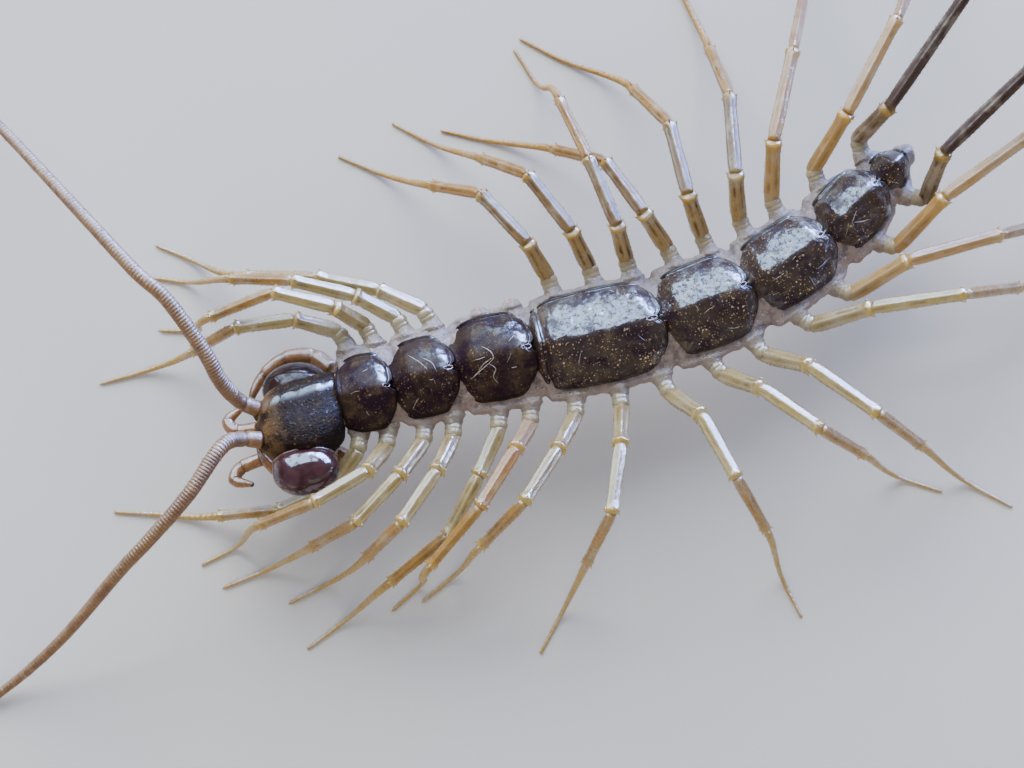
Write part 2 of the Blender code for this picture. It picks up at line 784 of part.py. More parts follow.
def antenna_line(outward):
    """The line of one feeler from its socket to its tip, smoothed into short steps."""
    line = LEFT_ANTENNA_LINE if outward < 0 else RIGHT_ANTENNA_LINE
    forward, side, height = ANTENNA_PLACE
    socket = head_point(forward, side * outward, height)
    marks = [socket] + [neck_point(*step) for step in line]
    for mark in marks:
        mark.z = max(mark.z, ANTENNA_TIP_RADIUS)
    return smooth_line(marks, CURVE_STEPS)


def smooth_line(marks, steps):
    """Points along a smooth curve through the marks (Catmull-Rom)."""
    points = []
    padded = [marks[0] * 2 - marks[1]] + list(marks) + [marks[-1] * 2 - marks[-2]]
    for a, b, c, d in zip(padded, padded[1:], padded[2:], padded[3:]):
        for i in range(steps):
            t = i / steps
            points.append(0.5 * (b * 2 + (c - a) * t + (a * 2 - b * 5 + c * 4 - d) * t * t
                                 + (b * 3 - a - c * 3 + d) * t ** 3))
    points.append(marks[-1])
    return points


def antenna_socket(outward):
    """The short collar on the head that carries a feeler."""
    points = antenna_line(outward)
    way = (points[3] - points[0]).normalized()
    inner, outer = SOCKET_RADII
    rings = [frame_ring(points[0] - way * SOCKET_DEPTH, way, inner, inner, STUB_SIDES),
             frame_ring(points[0], way, outer, outer, STUB_SIDES)]
    return loft("socket", rings)


def length_along(points):
    """Distance of each point from the first, along the line."""
    reach = [0.0]
    for a, b in zip(points, points[1:]):
        reach.append(reach[-1] + (b - a).length)
    return reach


def point_along(points, reach, place):
    """Point and direction of a line at a distance from its start."""
    for a, b, near, far in zip(points, points[1:], reach, reach[1:]):
        if place <= far:
            return a.lerp(b, (place - near) / (far - near)), (b - a).normalized()
    return points[-1], (points[-1] - points[-2]).normalized()


def antenna(outward, side_name):
    """One feeler in three lengths, thinning to its tip, each with the place of its root."""
    points = antenna_line(outward)
    reach = length_along(points)
    total = reach[-1]
    pieces = []
    for index, (near, far) in enumerate(zip(ANTENNA_SHARES, ANTENNA_SHARES[1:])):
        start = near * total + (GAP if index == 0 else HALF_GAP)
        end = far * total - (0 if index == 2 else HALF_GAP)
        count = ANTENNA_RINGS[index]
        rings = []
        for i in range(count):
            place = start + (end - start) * i / (count - 1)
            point, way = point_along(points, reach, place)
            radius = ANTENNA_RADIUS + (ANTENNA_TIP_RADIUS - ANTENNA_RADIUS) * place / total
            rings.append(leg_ring(point, way, radius))
        rest_on_floor(rings)
        if index == 2:
            rings.append([rings[-1][0].lerp(rings[-1][3], 0.5) + way * ANTENNA_END])
        pieces.append((loft(f"antenna_{side_name}_{index + 1}", rings), rings[0][0]))
    return pieces


def hook(name, points, radii):
    """A curved piece through a line of points, each with its own radius."""
    rings = []
    for i, (point, radius) in enumerate(zip(points, radii)):
        before = points[max(i - 1, 0)]
        after = points[min(i + 1, len(points) - 1)]
        rings.append(leg_ring(point, (after - before).normalized(), radius))
    return loft(name, rings)


def build_head(middle):
    """The head with its eyes, feelers and palps, and the poison claws under it."""
    capsule = head()
    finish(capsule, "back_plates")
    seat(capsule, head_point(0, 0, 0), middle)
    for side_name, outward in (("left", -1), ("right", 1)):
        eye = eye_ball(f"eye_{side_name}", outward, 0)
        finish(eye, "eye")
        seat(eye, head_point(EYE_PLACE[0], EYE_PLACE[1] * outward, EYE_PLACE[2]), middle)
        for thing, root in antenna(outward, side_name):
            finish(thing, "amber_feeler")
            seat(thing, root, middle)
        for name, points, radii in (("claw", claw_points(outward), CLAW_RADII),
                                    ("palp", palp_points(outward), PALP_RADII)):
            thing = hook(f"{name}_{side_name}", points, radii)
            finish(thing, "amber_feeler")
            seat(thing, points[0], middle)


def build_trunk(index, start, middle):
    """One trunk length with its back plate and leg roots, and the legs it carries."""
    plate = PLATES[index]
    pieces = [trunk_core(index, start, start + plate.length), back_plate(plate, index, start)]
    if index == 0:
        for outward in (-1, 1):
            pieces.append(root_stub(claw_points(outward), CLAW_RADII[0], CLAW_STUB_DEPTH))
    for number, station in legs_of(index):
        for side, outward, poses in (("left", -1, LEFT_POSES), ("right", 1, RIGHT_POSES)):
            if (side, number) in LOST_LEGS:
                pieces.append(coxa(station, outward, LOST_LEG_SWING))
                continue
            pose = poses[number]
            pieces.append(coxa(station, outward, pose.swing))
            thing = leg(number, station, outward, pose, f"leg_{side}_{number}")
            finish(thing, "dark_leg" if number == LAST_LEG else "pale_leg")
            seat(thing, hip(station, outward, pose.swing)[0], middle)
    body = fuse(f"trunk_{index + 1}", pieces)
    finish(body, "back_plates")
    seat(body, on_body(start, 0, RIM_HEIGHT), middle)


def main():
    clear_scene()
    middle = bpy.data.objects.new("centipede", None)
    bpy.context.collection.objects.link(middle)
    middle.location = (-MODEL_CENTRE[0] * MM, -MODEL_CENTRE[1] * MM, 0.0)
    build_head(middle)
    start = 0.0
    for index, plate in enumerate(PLATES):
        build_trunk(index, start, middle)
        start += plate.length


if __name__ == "__main__":
    main()
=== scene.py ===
"""House centipede: the looks of a still, life-size model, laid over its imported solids.

The file is laid out as a Blender add-on and is run as a script. The frame is in metres, +Z up:
the head points to -X, the tail to +X, and the animal's left side is -Y. Sizes below are in
millimetres, and MM turns them into metres when a piece is made.
"""
import math
import random
from collections import namedtuple

import bmesh
import bpy
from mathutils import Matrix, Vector, noise


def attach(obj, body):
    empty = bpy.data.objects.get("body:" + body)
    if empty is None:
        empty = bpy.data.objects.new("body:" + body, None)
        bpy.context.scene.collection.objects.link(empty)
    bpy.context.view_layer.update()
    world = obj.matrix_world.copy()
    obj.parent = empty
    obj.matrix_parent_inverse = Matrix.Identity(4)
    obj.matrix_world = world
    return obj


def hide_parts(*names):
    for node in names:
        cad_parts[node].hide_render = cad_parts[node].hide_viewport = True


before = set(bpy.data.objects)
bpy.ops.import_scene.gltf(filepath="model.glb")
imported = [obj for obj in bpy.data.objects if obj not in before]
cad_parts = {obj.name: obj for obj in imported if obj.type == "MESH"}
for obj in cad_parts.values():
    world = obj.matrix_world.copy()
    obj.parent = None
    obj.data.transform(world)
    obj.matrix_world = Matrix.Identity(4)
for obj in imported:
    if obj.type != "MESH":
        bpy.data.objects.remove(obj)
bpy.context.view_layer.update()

bl_info = {
    "name": "House centipede",
    "version": (1, 0, 0),
    "blender": (4, 5, 0),
    "location": "3D View > Sidebar > Centipede",
    "description": "Builds the shell, skin, head, feelers and legs of a house centipede",
    "category": "Add Mesh",
}

MM = 0.001
BODY = "root"

# The line of the body and its back plates, as in the solids: each plate has a length, a width, a
# heading in degrees and the shares of its length at which its leg pairs stand
NECK_PLACE = (-12.35, -5.82)
BELLY_HEIGHT = 1.85
FLANK_HEIGHT = 2.7
RIM_HEIGHT = 3.25
BACK_HEIGHT = 4.25
BODY_SAG = 0.25
Plate = namedtuple("Plate", "length width heading legs")
PLATES = (
    Plate(1.75, 2.65, -13, (0.24, 0.77)),
    Plate(2.20, 2.90, -9, (0.36, 0.80)),
    Plate(2.75, 3.15, -10, (0.42, 0.82)),
    Plate(4.45, 3.40, -10, (0.24, 0.57, 0.88)),
    Plate(3.20, 3.20, -1, (0.36, 0.80)),
    Plate(3.20, 2.90, 12, (0.30, 0.76)),
    Plate(2.60, 2.45, 24, (0.46,)),
    Plate(1.25, 1.60, 26, (0.36,)),
)
TRUNK_LENGTH = sum(plate.length for plate in PLATES)
LAST_PLATE = len(PLATES) - 1
TAIL_TAPER = 0.45
LINE_STEP = 0.05
LINE_SPARE = 2.0

# Head, eyes, feelers, claws and palps, as in the solids
HEAD_REACH = 1.50
HEAD_SIDE = -0.95
HEAD_MIDDLE = 3.20
HEAD_WIDTH = 2.90
HEAD_RISE = 1.15
HEAD_DEPTH = 1.05
HEAD_HEADING = -13
HEAD_ROLL = 24
# Rows of the head from neck to brow: place forward of its middle, shift towards the neck, then
# shares of its width, rise and depth
HEAD_ROWS = (
    (-1.42, 0.52, 0.58, 0.60, 0.62),
    (-1.30, 0.45, 0.80, 0.78, 0.72),
    (-0.80, 0.20, 0.96, 0.95, 0.86),
    (-0.10, 0.00, 1.00, 1.00, 0.96),
    (0.55, 0.00, 0.93, 0.95, 1.00),
    (1.05, 0.00, 0.76, 0.78, 0.92),
    (1.36, 0.00, 0.52, 0.52, 0.76),
    (1.50, 0.00, 0.28, 0.22, 0.50),
)
EYE_HALF_SIZES = (1.15, 0.85, 0.92)
EYE_PLACE = (0.08, 1.66, -0.25)
ANTENNA_PLACE = (1.40, 0.62, 0.42)
LEFT_ANTENNA_LINE = (
    (3.50, -1.25, 0.90), (4.00, -1.35, 1.50), (4.50, -1.80, 1.75), (5.50, -2.90, 1.70),
    (7.00, -4.10, 1.20), (8.30, -5.00, 0.50), (10.80, -6.80, -1.40), (13.40, -8.20, -2.90),
    (17.00, -9.80, -3.07), (21.00, -11.00, -3.07),
)
RIGHT_ANTENNA_LINE = (
    (3.50, 0.15, 0.60), (3.95, 0.80, 1.40), (4.30, 1.75, 2.05), (5.20, 3.50, 2.80),
    (6.10, 4.60, 3.00), (7.70, 7.00, 2.40), (10.20, 10.80, 0.30), (12.50, 14.00, -1.90),
    (14.50, 17.50, -3.00), (17.00, 21.00, -3.07),
)
THROAT_SIDE = -0.45
CLAW_LINE = (
    (0.25, 1.45, -1.52), (0.90, 2.05, -1.98), (1.80, 2.15, -2.10), (2.60, 1.75, -2.15),
    (3.10, 1.15, -2.10), (3.25, 0.60, -2.05),
)
CLAW_RADII = (0.30, 0.32, 0.29, 0.23, 0.15, 0.04)
PALP_LINE = (
    (1.60, 0.62, -0.80), (2.30, 0.75, -0.95), (2.55, 1.20, -0.95), (2.00, 1.55, -0.80),
)
PALP_RADII = (0.24, 0.24, 0.22, 0.10)

# Legs, as in the solids: sizes of each piece of leg n grow by the second number from pair to pair
PREFEMUR = (1.55, 0.04)
FEMUR = (2.00, 0.06)
TIBIA = (2.45, 0.06)
TARSUS = (3.60, 0.06)
REAR_GROWTH = 0.08
FIRST_REAR_LEG = 11
LAST_LEG = 15
LAST_LEG_STRETCH = (1.15, 2.2, 2.1, 3.4)
COXA_REACH = 0.24
COXA_ROOT_SHARE = 0.225
HIP_GAP = 0.3
HIP_SHIFT = 0.05
HIP_HEIGHT = 2.80
HIP_OUT = 0.75
HIP_LEAN = 0.40
HIP_RISE = 0.10
LOST_LEG_SWING = 30
TROCHANTER = 0.26
SOLID_FOOT_RADIUS = 0.09
Pose = namedtuple("Pose", "swing femur_turn tibia_turn tarsus_turn rise femur_pitch tibia_pitch")
LEFT_POSES = {
    1: Pose(60, 30, 20, 5, -20, -15, -30),
    2: Pose(55, 25, 15, -10, 45, 12, -40),
    3: Pose(55, 10, 25, 0, 28, 0, -50),
    4: Pose(45, 10, 20, 10, 35, 15, -55),
    5: Pose(45, 5, 25, 0, 5, -10, -25),
    6: Pose(48, 5, 11, 6, 50, 10, -27),
    7: Pose(48, 5, 18, 2, 38, 25, -48),
    8: Pose(25, 5, 20, 0, 40, 15, -55),
    9: Pose(-25, 20, -10, 10, 45, 15, -50),
    10: Pose(-40, 10, -20, 0, 45, 20, -55),
    11: Pose(-45, 15, -15, 5, 45, 15, -55),
    12: Pose(-80, 5, -10, 15, 35, 10, -50),
    13: Pose(-95, 10, -5, 10, 40, -10, -45),
    14: Pose(-112, 8, 0, 5, 45, 0, -45),
    15: Pose(-140, 29, 0, 5, 60, 15, -20),
}
RIGHT_POSES = {
    1: Pose(55, 20, 12, -3, 15, -6, -48),
    2: Pose(44, 11, 30, -18, 47, 5, -26),
    3: Pose(43, 12, 5, 0, 19, 4, -33),
    4: Pose(43, 12, 8, -17, -8, -6, -22),
    7: Pose(15, 5, 25, 0, 50, -10, -50),
    8: Pose(10, 5, 20, 5, 50, -5, -50),
    9: Pose(0, 0, 0, 10, 60, -5, -30),
    10: Pose(20, -10, 30, 15, 50, -25, -50),
    11: Pose(5, -15, 20, 30, 55, -20, -50),
    12: Pose(-10, -10, 10, 10, 60, -20, -50),
    13: Pose(-20, -15, 0, 0, 50, -10, -40),
    14: Pose(-55, 5, 5, 5, 50, 0, -40),
    15: Pose(-75, 18, 0, 0, 65, 15, -20),
}
LOST_LEGS = (("right", 5), ("right", 6))
SIDES = (("left", -1, LEFT_POSES), ("right", 1, RIGHT_POSES))

# Finer sizes of the plates that only the looks have
PLATE_THICKNESS = 0.30
PLATE_TUCK = 0.35
PLATE_REACH = 0.08
PLATE_COLUMNS = 72
PLATE_ROW_LENGTH = 0.05
FRONT_PLATES = 3
NECK_COVER = 0.17
REAR_FACET = 0.56
REAR_SLOPE = 0.50
REAR_CORNER = 0.17
REAR_CURVE = 0.46
REAR_NOTCH = 0.24
FRONT_CORNER = 0.24
FRONT_DIP = 0.48
NECK_DIP = 0.24
LAST_PLATE_TAPER = 0.30
LEFT_RIM_SHARE = 0.4
COLLAR_PLATE = 3
COLLAR_HEIGHT = 0.20
COLLAR_GROOVE = 0.10
# For each plate: its width against the solid, its shift to the right, its width at the front and the
# depth of its dents
PLATE_SPREADS = (1.02, 0.96, 0.96, 0.98, 0.97, 0.97, 0.98, 1.12)
PLATE_SHIFTS = (-0.20, -0.06, 0.06, 0.05, 0.05, 0.05, 0.04, 0.0)
PLATE_FRONTS = (0.99, 0.92, 0.92, 0.97, 0.95, 0.94, 0.92, 0.92)
DENTS = (1.6, 1.6, 1.6, 0.6, 0.6, 0.6, 0.4, 0.2)
SLIT_HALF_LENGTH = 0.19
SLIT_HALF_WIDTH = 0.075
SLIT_THICKNESS = 0.036
# Hairlines drawn one by one: plate, thickness, and marks along and across the plate
DRAWN_HAIRLINES = (
    (2, 0.017, ((0.42, 0.22), (0.50, 0.06), (0.52, -0.10), (0.46, -0.20))),
    (2, 0.017, ((0.46, -0.20), (0.34, -0.34), (0.24, -0.46))),
    (2, 0.015, ((0.46, -0.20), (0.52, -0.34), (0.48, -0.50), (0.52, -0.66))),
    (2, 0.012, ((0.50, -0.10), (0.40, -0.20), (0.33, -0.34))),
    (1, 0.013, ((0.40, 0.55), (0.52, 0.30), (0.62, 0.02))),
    (1, 0.011, ((0.55, 0.42), (0.68, 0.20), (0.74, -0.06))),
)
HAIRLINES_PER_MM = 1.5

# Finer sizes of the soft body
SKIN_VOXEL = 0.07
SKIN_STEP = 0.11
FLANK_BULGE = 0.27
BULGE_WIDTH = 3.2
FOLD_PINCH = 0.11
NECK_RINGS = 24
NECK_SIZE = 0.84
ROOT_SIDES = 16
SCAR_SIZE = 0.22
SCAR_SHARE = 0.99
BELLY_ROWS = 20
BELLY_COLUMNS = 28
BELLY_HALF_SHARE = 0.29
# Rings that round off the tail: distance past the last plate and size
TAIL_RINGS = ((0.15, 0.88), (0.28, 0.80), (0.40, 0.66), (0.50, 0.47), (0.56, 0.24))

# Finer sizes of the head, feelers, claws and palps
HEAD_SIDES = 84
EYE_ROWS = 40
EYE_SIDES = 56
EYE_RIM_STEPS = 72
EYE_RIM_SLOPE = 66
EYE_RIM_REACH = 1.02
LIP_STEPS = 8
# Rings of the socket that holds a feeler: distance behind the feeler's start and size
SOCKET_RINGS = ((0.75, 0.46), (0.40, 0.45), (0.16, 0.40), (0.04, 0.34), (-0.02, 0.30), (0.02, 0.24))
FEELER_SIDES = 16
FEELER_START = 0.05
FEELER_BASE = 1.15
FEELER_BASE_RADIUS = 0.29
FEELER_RADIUS = 0.225
FEELER_TIP_RADIUS = 0.055
FEELER_RING_LENGTH = 0.10
HAIR_LENGTH = 0.13
HAIR_RADIUS = 0.012
HAIRY_SHARE = 0.6
# One ring of a feeler and of a foot: share of its length and swell
FEELER_RING = ((0.0, 0.94), (0.18, 1.0), (0.82, 1.025), (0.96, 0.96))
FOOT_RING = ((0.0, 0.88), (0.16, 1.0), (0.80, 1.05), (0.97, 0.98))
HOOK_STEPS = 54
HOOK_SIDES = 20
# Rounded end of a claw or palp: distance past its line and size, as shares of its last radius
HOOK_END = ((0.35, 0.80), (0.60, 0.45), (0.68, 0.10))
CLAW_JOINTS = (0.22, 0.48, 0.70)
PALP_JOINTS = (0.35, 0.68)
CLAW_TIP_SHADE = 0.82
PALP_TIP_SHADE = 0.95

# Finer sizes of the legs
LEG_SIDES = 36
LEG_ROWS = 40
FOOT_SIDES = 12
FOOT_STEPS = 32
HIP_SIDES = 24
HIP_ROWS = 14
KEELS = 6
LONG_SPURS = (1, 4)
PREFEMUR_RADIUS = 0.29
FEMUR_RADIUS = 0.25
TIBIA_RADIUS = 0.20
TARSUS_RADIUS = 0.15
FOOT_RADIUS = 0.05
FOOT_RING_LENGTH = 0.22
SPINE_RADIUS = 0.0154
SPUR_RADIUS = 0.034
BRISTLE_RADIUS = 0.011

# Stage
LIGHT_AIM = (-0.004, -0.006, 0.003)
VIEW_AIM = (-0.0069, -0.0078, 0.0033)
FLOOR_HALF = 0.6
SURROUND_TINT = (0.9, 0.94, 1.0, 1.0)
SURROUND_STRENGTH = 0.35
# Each area light, with the setting that holds its power, and whether it shows as gloss and whether it
# lights the surfaces
Light = namedtuple("Light", "name place size power tint glossy diffuse")
LIGHTS = (
    Light("key", (0.03, 0.26, 0.20), (0.30, 0.20), "key_power", (0.92, 0.96, 1.0), False, True),
    Light("sky_card", (0.02, 0.25, 0.20), (0.56, 0.40), "card_power", (0.48, 0.70, 1.0), True, False),
    Light("rear_card", (0.245, 0.155, 0.088), (0.40, 0.16), "rear_power", (0.28, 0.42, 1.0), True, False),
    Light("fill", (-0.16, -0.24, 0.20), (0.24, 0.24), "fill_power", (1.0, 0.95, 0.88), False, True),
)

# Finish of each leg: colours of its prefemur, femur, tibia and foot and of its lengthwise stripes,
# then how strong its stripes, grains and polish are
LegLook = namedtuple("LegLook", "prefemur femur tibia foot stripe stripe_share grain polish")
LEG_LOOKS = {
    "pale": LegLook((0.40, 0.31, 0.15), (0.43, 0.33, 0.135), (0.38, 0.21, 0.050),
                    (0.48, 0.31, 0.095), (0.12, 0.075, 0.035), 0.75, 0.3, 0.25),
    "tan": LegLook((0.38, 0.25, 0.10), (0.21, 0.13, 0.058), (0.38, 0.20, 0.045),
                   (0.48, 0.28, 0.075), (0.075, 0.038, 0.022), 1.0, 0.8, 0.08),
    "pink": LegLook((0.46, 0.31, 0.20), (0.42, 0.22, 0.06), (0.40, 0.22, 0.05),
                    (0.48, 0.30, 0.09), (0.18, 0.09, 0.04), 0.4, 1.0, 0.15),
    "orange": LegLook((0.48, 0.29, 0.10), (0.44, 0.27, 0.11), (0.34, 0.19, 0.075),
                      (0.38, 0.22, 0.09), (0.16, 0.09, 0.05), 0.6, 0.4, 0.10),
    "dark": LegLook((0.24, 0.165, 0.10), (0.085, 0.055, 0.045), (0.085, 0.055, 0.045),
                    (0.16, 0.10, 0.065), (0.030, 0.018, 0.015), 0.9, 0.5, 0.0),
}
FIRST_ORANGE_LEG = 13
FIRST_TAN_LEG = 7
PINK_LEG = 6


def leg_look_of(side, number):
    """Which finish a leg has."""
    if number == LAST_LEG:
        return "dark"
    if number >= FIRST_ORANGE_LEG:
        return "orange"
    if side == "left":
        return "pink" if number == PINK_LEG else "pale"
    return "tan" if number >= FIRST_TAN_LEG else "pale"


# Settings

class ShellSettings(bpy.types.PropertyGroup):
    """Sizes and colours of the back plates."""
    rim_height: bpy.props.FloatProperty(
        name="Rim height", description="How far the margin of a plate stands up",
        default=0.00005, precision=6, unit="LENGTH", subtype="DISTANCE")
    relief: bpy.props.FloatProperty(
        name="Relief", description="Depth of the low waves and pits over a plate",
        default=0.00003, precision=6, unit="LENGTH", subtype="DISTANCE")
    dark: bpy.props.FloatVectorProperty(
        name="Dark brown", description="Main colour of the plates",
        default=(0.046, 0.029, 0.022), subtype="COLOR")
    purple: bpy.props.FloatVectorProperty(
        name="Purple black", description="Colour of the darkest patches",
        default=(0.022, 0.010, 0.017), subtype="COLOR")
    olive: bpy.props.FloatVectorProperty(
        name="Olive", description="Colour of the thin, worn patches",
        default=(0.085, 0.058, 0.032), subtype="COLOR")
    speck: bpy.props.FloatVectorProperty(
        name="Specks", description="Colour of the small golden specks",
        default=(0.55, 0.36, 0.17), subtype="COLOR")
    roughness: bpy.props.FloatProperty(
        name="Roughness", description="Lowest roughness of the plates", default=0.26, subtype="FACTOR")


class SkinSettings(bpy.types.PropertyGroup):
    """Sizes and colours of the soft body between the plates."""
    fold_depth: bpy.props.FloatProperty(
        name="Fold depth", description="Depth of the folds in the soft skin",
        default=0.00004, precision=6, unit="LENGTH", subtype="DISTANCE")
    # The skin is painted pale on its raised folds and grey mauve deep in them: painted highlight and
    # painted shade that follow the height of the folds.
    pale: bpy.props.FloatVectorProperty(
        name="Pale", description="Colour of the skin's raised folds",
        default=(0.27, 0.205, 0.175), subtype="COLOR")
    grey: bpy.props.FloatVectorProperty(
        name="Grey mauve", description="Colour deep in the folds",
        default=(0.125, 0.088, 0.084), subtype="COLOR")
    belly: bpy.props.FloatVectorProperty(
        name="Belly plates", description="Colour of the plates under the body",
        default=(0.34, 0.24, 0.13), subtype="COLOR")
    scar: bpy.props.FloatVectorProperty(
        name="Scars", description="Colour of the healed places of two lost legs",
        default=(0.50, 0.21, 0.11), subtype="COLOR")
    stoma: bpy.props.FloatVectorProperty(
        name="Breathing lips", description="Colour of the lips at the rear notch of each plate",
        default=(0.16, 0.075, 0.055), subtype="COLOR")


class HeadSettings(bpy.types.PropertyGroup):
    """Sizes and colours of the head, eyes and mouthparts."""
    roughen: bpy.props.FloatProperty(
        name="Roughness of form", description="Depth of the lumps on the head",
        default=0.000025, precision=6, unit="LENGTH", subtype="DISTANCE")
    shell: bpy.props.FloatVectorProperty(
        name="Head shell", description="Main colour of the head",
        default=(0.016, 0.010, 0.007), subtype="COLOR")
    brow: bpy.props.FloatVectorProperty(
        name="Brow", description="Colour of the front of the head",
        default=(0.16, 0.090, 0.040), subtype="COLOR")
    eye: bpy.props.FloatVectorProperty(
        name="Left eye", description="Colour of the left eye", default=(0.036, 0.013, 0.018),
        subtype="COLOR")
    # The right eye has the same colour as the left one; its darker colour here is painted shade.
    dark_eye: bpy.props.FloatVectorProperty(
        name="Right eye", description="Colour of the darker right eye", default=(0.020, 0.010, 0.009),
        subtype="COLOR")
    eye_rim: bpy.props.FloatVectorProperty(
        name="Eye rim", description="Colour of the rim round each eye",
        default=(0.20, 0.105, 0.075), subtype="COLOR")
    feeler: bpy.props.FloatVectorProperty(
        name="Feelers", description="Colour of feelers and palps",
        default=(0.27, 0.145, 0.055), subtype="COLOR")
    claw: bpy.props.FloatVectorProperty(
        name="Claws", description="Colour of the poison claws",
        default=(0.25, 0.115, 0.038), subtype="COLOR")


class LegSettings(bpy.types.PropertyGroup):
    """Sizes of the legs' finer forms."""
    keel_height: bpy.props.FloatProperty(
        name="Keel height", description="How far the lengthwise keels stand out, as a share",
        default=0.10, subtype="FACTOR")
    spine_length: bpy.props.FloatProperty(
        name="Spine length", description="Length of the short spines along the keels",
        default=0.00011, precision=6, unit="LENGTH", subtype="DISTANCE")
    spur_length: bpy.props.FloatProperty(
        name="Spur length", description="Length of the spurs at the end of each piece",
        default=0.00034, precision=6, unit="LENGTH", subtype="DISTANCE")


class StageSettings(bpy.types.PropertyGroup):
    """Floor, lights and camera."""
    azimuth: bpy.props.FloatProperty(
        name="Azimuth", description="Direction of the camera round the model",
        default=math.radians(-22), subtype="ANGLE")
    elevation: bpy.props.FloatProperty(
        name="Elevation", description="Height of the camera over the floor, as an angle",
        default=math.radians(82), subtype="ANGLE")
    distance: bpy.props.FloatProperty(
        name="Distance", description="Distance of the camera from its aim",
        default=0.1086, unit="LENGTH", subtype="DISTANCE")
    view_width: bpy.props.FloatProperty(
        name="View width", description="Width that the camera sees at its aim",
        default=0.034816, precision=6, unit="LENGTH", subtype="DISTANCE")
    floor: bpy.props.FloatVectorProperty(
        name="Floor", description="Colour of the floor", default=(0.62, 0.58, 0.55), subtype="COLOR")
    key_power: bpy.props.FloatProperty(
        name="Key light", description="Power of the large soft light", default=2.0, unit="POWER")
    card_power: bpy.props.FloatProperty(
        name="Sky card", description="Power of the wide card that only shows as gloss", default=15.0,
        unit="POWER")
    rear_power: bpy.props.FloatProperty(
        name="Rear card", description="Power of the card behind the tail that only shows as gloss",
        default=26.0, unit="POWER")
    fill_power: bpy.props.FloatProperty(
        name="Fill light", description="Power of the fill light", default=0.5, unit="POWER")


# Shapes

class Shape:
    """Points, faces and painted values of a piece in the making, in millimetres."""

    def __init__(self, *paints):
        self.points = []
        self.faces = []
        self.paints = {name: [] for name in paints}

    def point(self, place, values):
        """Adds one point with its painted values and returns its number."""
        self.points.append(place)
        for name, column in self.paints.items():
            column.append(values.get(name, 0.0))
        return len(self.points) - 1

    def tube(self, rings, values=None, closed=True):
        """Faces between rings of points; values gives each ring's painted values."""
        rows = []
        for i, ring in enumerate(rings):
            row = []
            for j, place in enumerate(ring):
                painted = values(i, j) if values else {}
                row.append(self.point(place, painted))
            rows.append(row)
        for first, second in zip(rows, rows[1:]):
            count = max(len(first), len(second))
            for i in range(count):
                j = (i + 1) % count
                if len(second) == 1:
                    self.faces.append((first[j], first[i], second[0]))
                elif len(first) == 1:
                    self.faces.append((first[0], second[i], second[j]))
                else:
                    self.faces.append((first[j], first[i], second[i], second[j]))
        if closed:
            if len(rows[0]) > 1:
                self.faces.append(tuple(rows[0]))
            if len(rows[-1]) > 1:
                self.faces.append(tuple(reversed(rows[-1])))

    def cone(self, root, way, length, radius, values):
        """A short four-sided spine."""
        self.tube([ring_at(root, way, radius, radius, 4), [root + way * length]],
                  lambda i, j: values)

    def slab(self, top, under, values):
        """A closed sheet between two grids of points of the same size."""
        numbers = []
        for grid in (top, under):
            rows = []
            for i, line in enumerate(grid):
                rows.append([self.point(place, values(i, j)) for j, place in enumerate(line)])
            numbers.append(rows)
            for a, b in zip(rows, rows[1:]):
                for i in range(len(a) - 1):
                    self.faces.append((a[i], a[i + 1], b[i + 1], b[i]))
        high = outline(numbers[0])
        low = outline(numbers[1])
        for i in range(len(high)):
            j = (i + 1) % len(high)
            self.faces.append((high[i], high[j], low[j], low[i]))


def outline(grid):
    """The entries round the edge of a grid, in order."""
    edge = list(grid[0])
    edge += [line[-1] for line in grid[1:]]
    edge += list(reversed(grid[-1][:-1]))
    edge += [line[0] for line in reversed(grid[1:-1])]
    return edge


def axes_of(way):
    """The level and the rising direction square to a direction."""
    level = way.cross(Vector((0, 0, 1)))
    if level.length < 0.001:
        level = Vector((0, 1, 0))
    level.normalize()
    return level, level.cross(way).normalized()


def ring_at(centre, way, wide, high, sides):
    """An oval ring of points square to a direction."""
    level, rise = axes_of(way)
    points = []
    for i in range(sides):
        turn = 2 * math.pi * i / sides
        points.append(centre + level * (math.cos(turn) * wide) + rise * (math.sin(turn) * high))
    return points


def smooth_line(marks, steps):
    """Points along a smooth curve through the marks (Catmull-Rom)."""
    points = []
    padded = [marks[0] * 2 - marks[1]] + list(marks) + [marks[-1] * 2 - marks[-2]]
    for a, b, c, d in zip(padded, padded[1:], padded[2:], padded[3:]):
        for i in range(steps):
            t = i / steps
            points.append(0.5 * (b * 2 + (c - a) * t + (a * 2 - b * 5 + c * 4 - d) * t * t
                                 + (b * 3 - a - c * 3 + d) * t ** 3))
    points.append(marks[-1])
    return points


def read_marks(marks, place):
    """Value at a place, read straight between (place, value) marks."""
    if place <= marks[0][0]:
        return marks[0][1]
    for (near, low), (far, high) in zip(marks, marks[1:]):
        if place <= far:
            return low + (high - low) * (place - near) / (far - near)
    return marks[-1][1]


class Path:
    """A line of points that is read by the distance from its start."""

    def __init__(self, points):
        self.points = points
        self.reach = [0.0]
        for a, b in zip(points, points[1:]):
            self.reach.append(self.reach[-1] + (b - a).length)
        self.length = self.reach[-1]

    def at(self, place):
        """Point and direction at a distance from the start."""
        for i in range(len(self.points) - 1):
            if place <= self.reach[i + 1]:
                near, far = self.points[i], self.points[i + 1]
                share = (place - self.reach[i]) / (self.reach[i + 1] - self.reach[i])
                return near.lerp(far, share), (far - near).normalized()
        near, far = self.points[-2:]
        return far.copy(), (far - near).normalized()


def clamp(value):
    """A value held between 0 and 1."""
    return min(max(value, 0.0), 1.0)


def bell(value, width):
    """1 where a value is 0, falling smoothly to nothing over a few widths."""
    return math.exp(-((value / width) ** 2))


def bump_noise(place, size, seed):
    """Smooth noise from -1 to 1 with waves of a given size."""
    return noise.noise(Vector((place.x / size + seed, place.y / size, place.z / size)))


# The line of the body

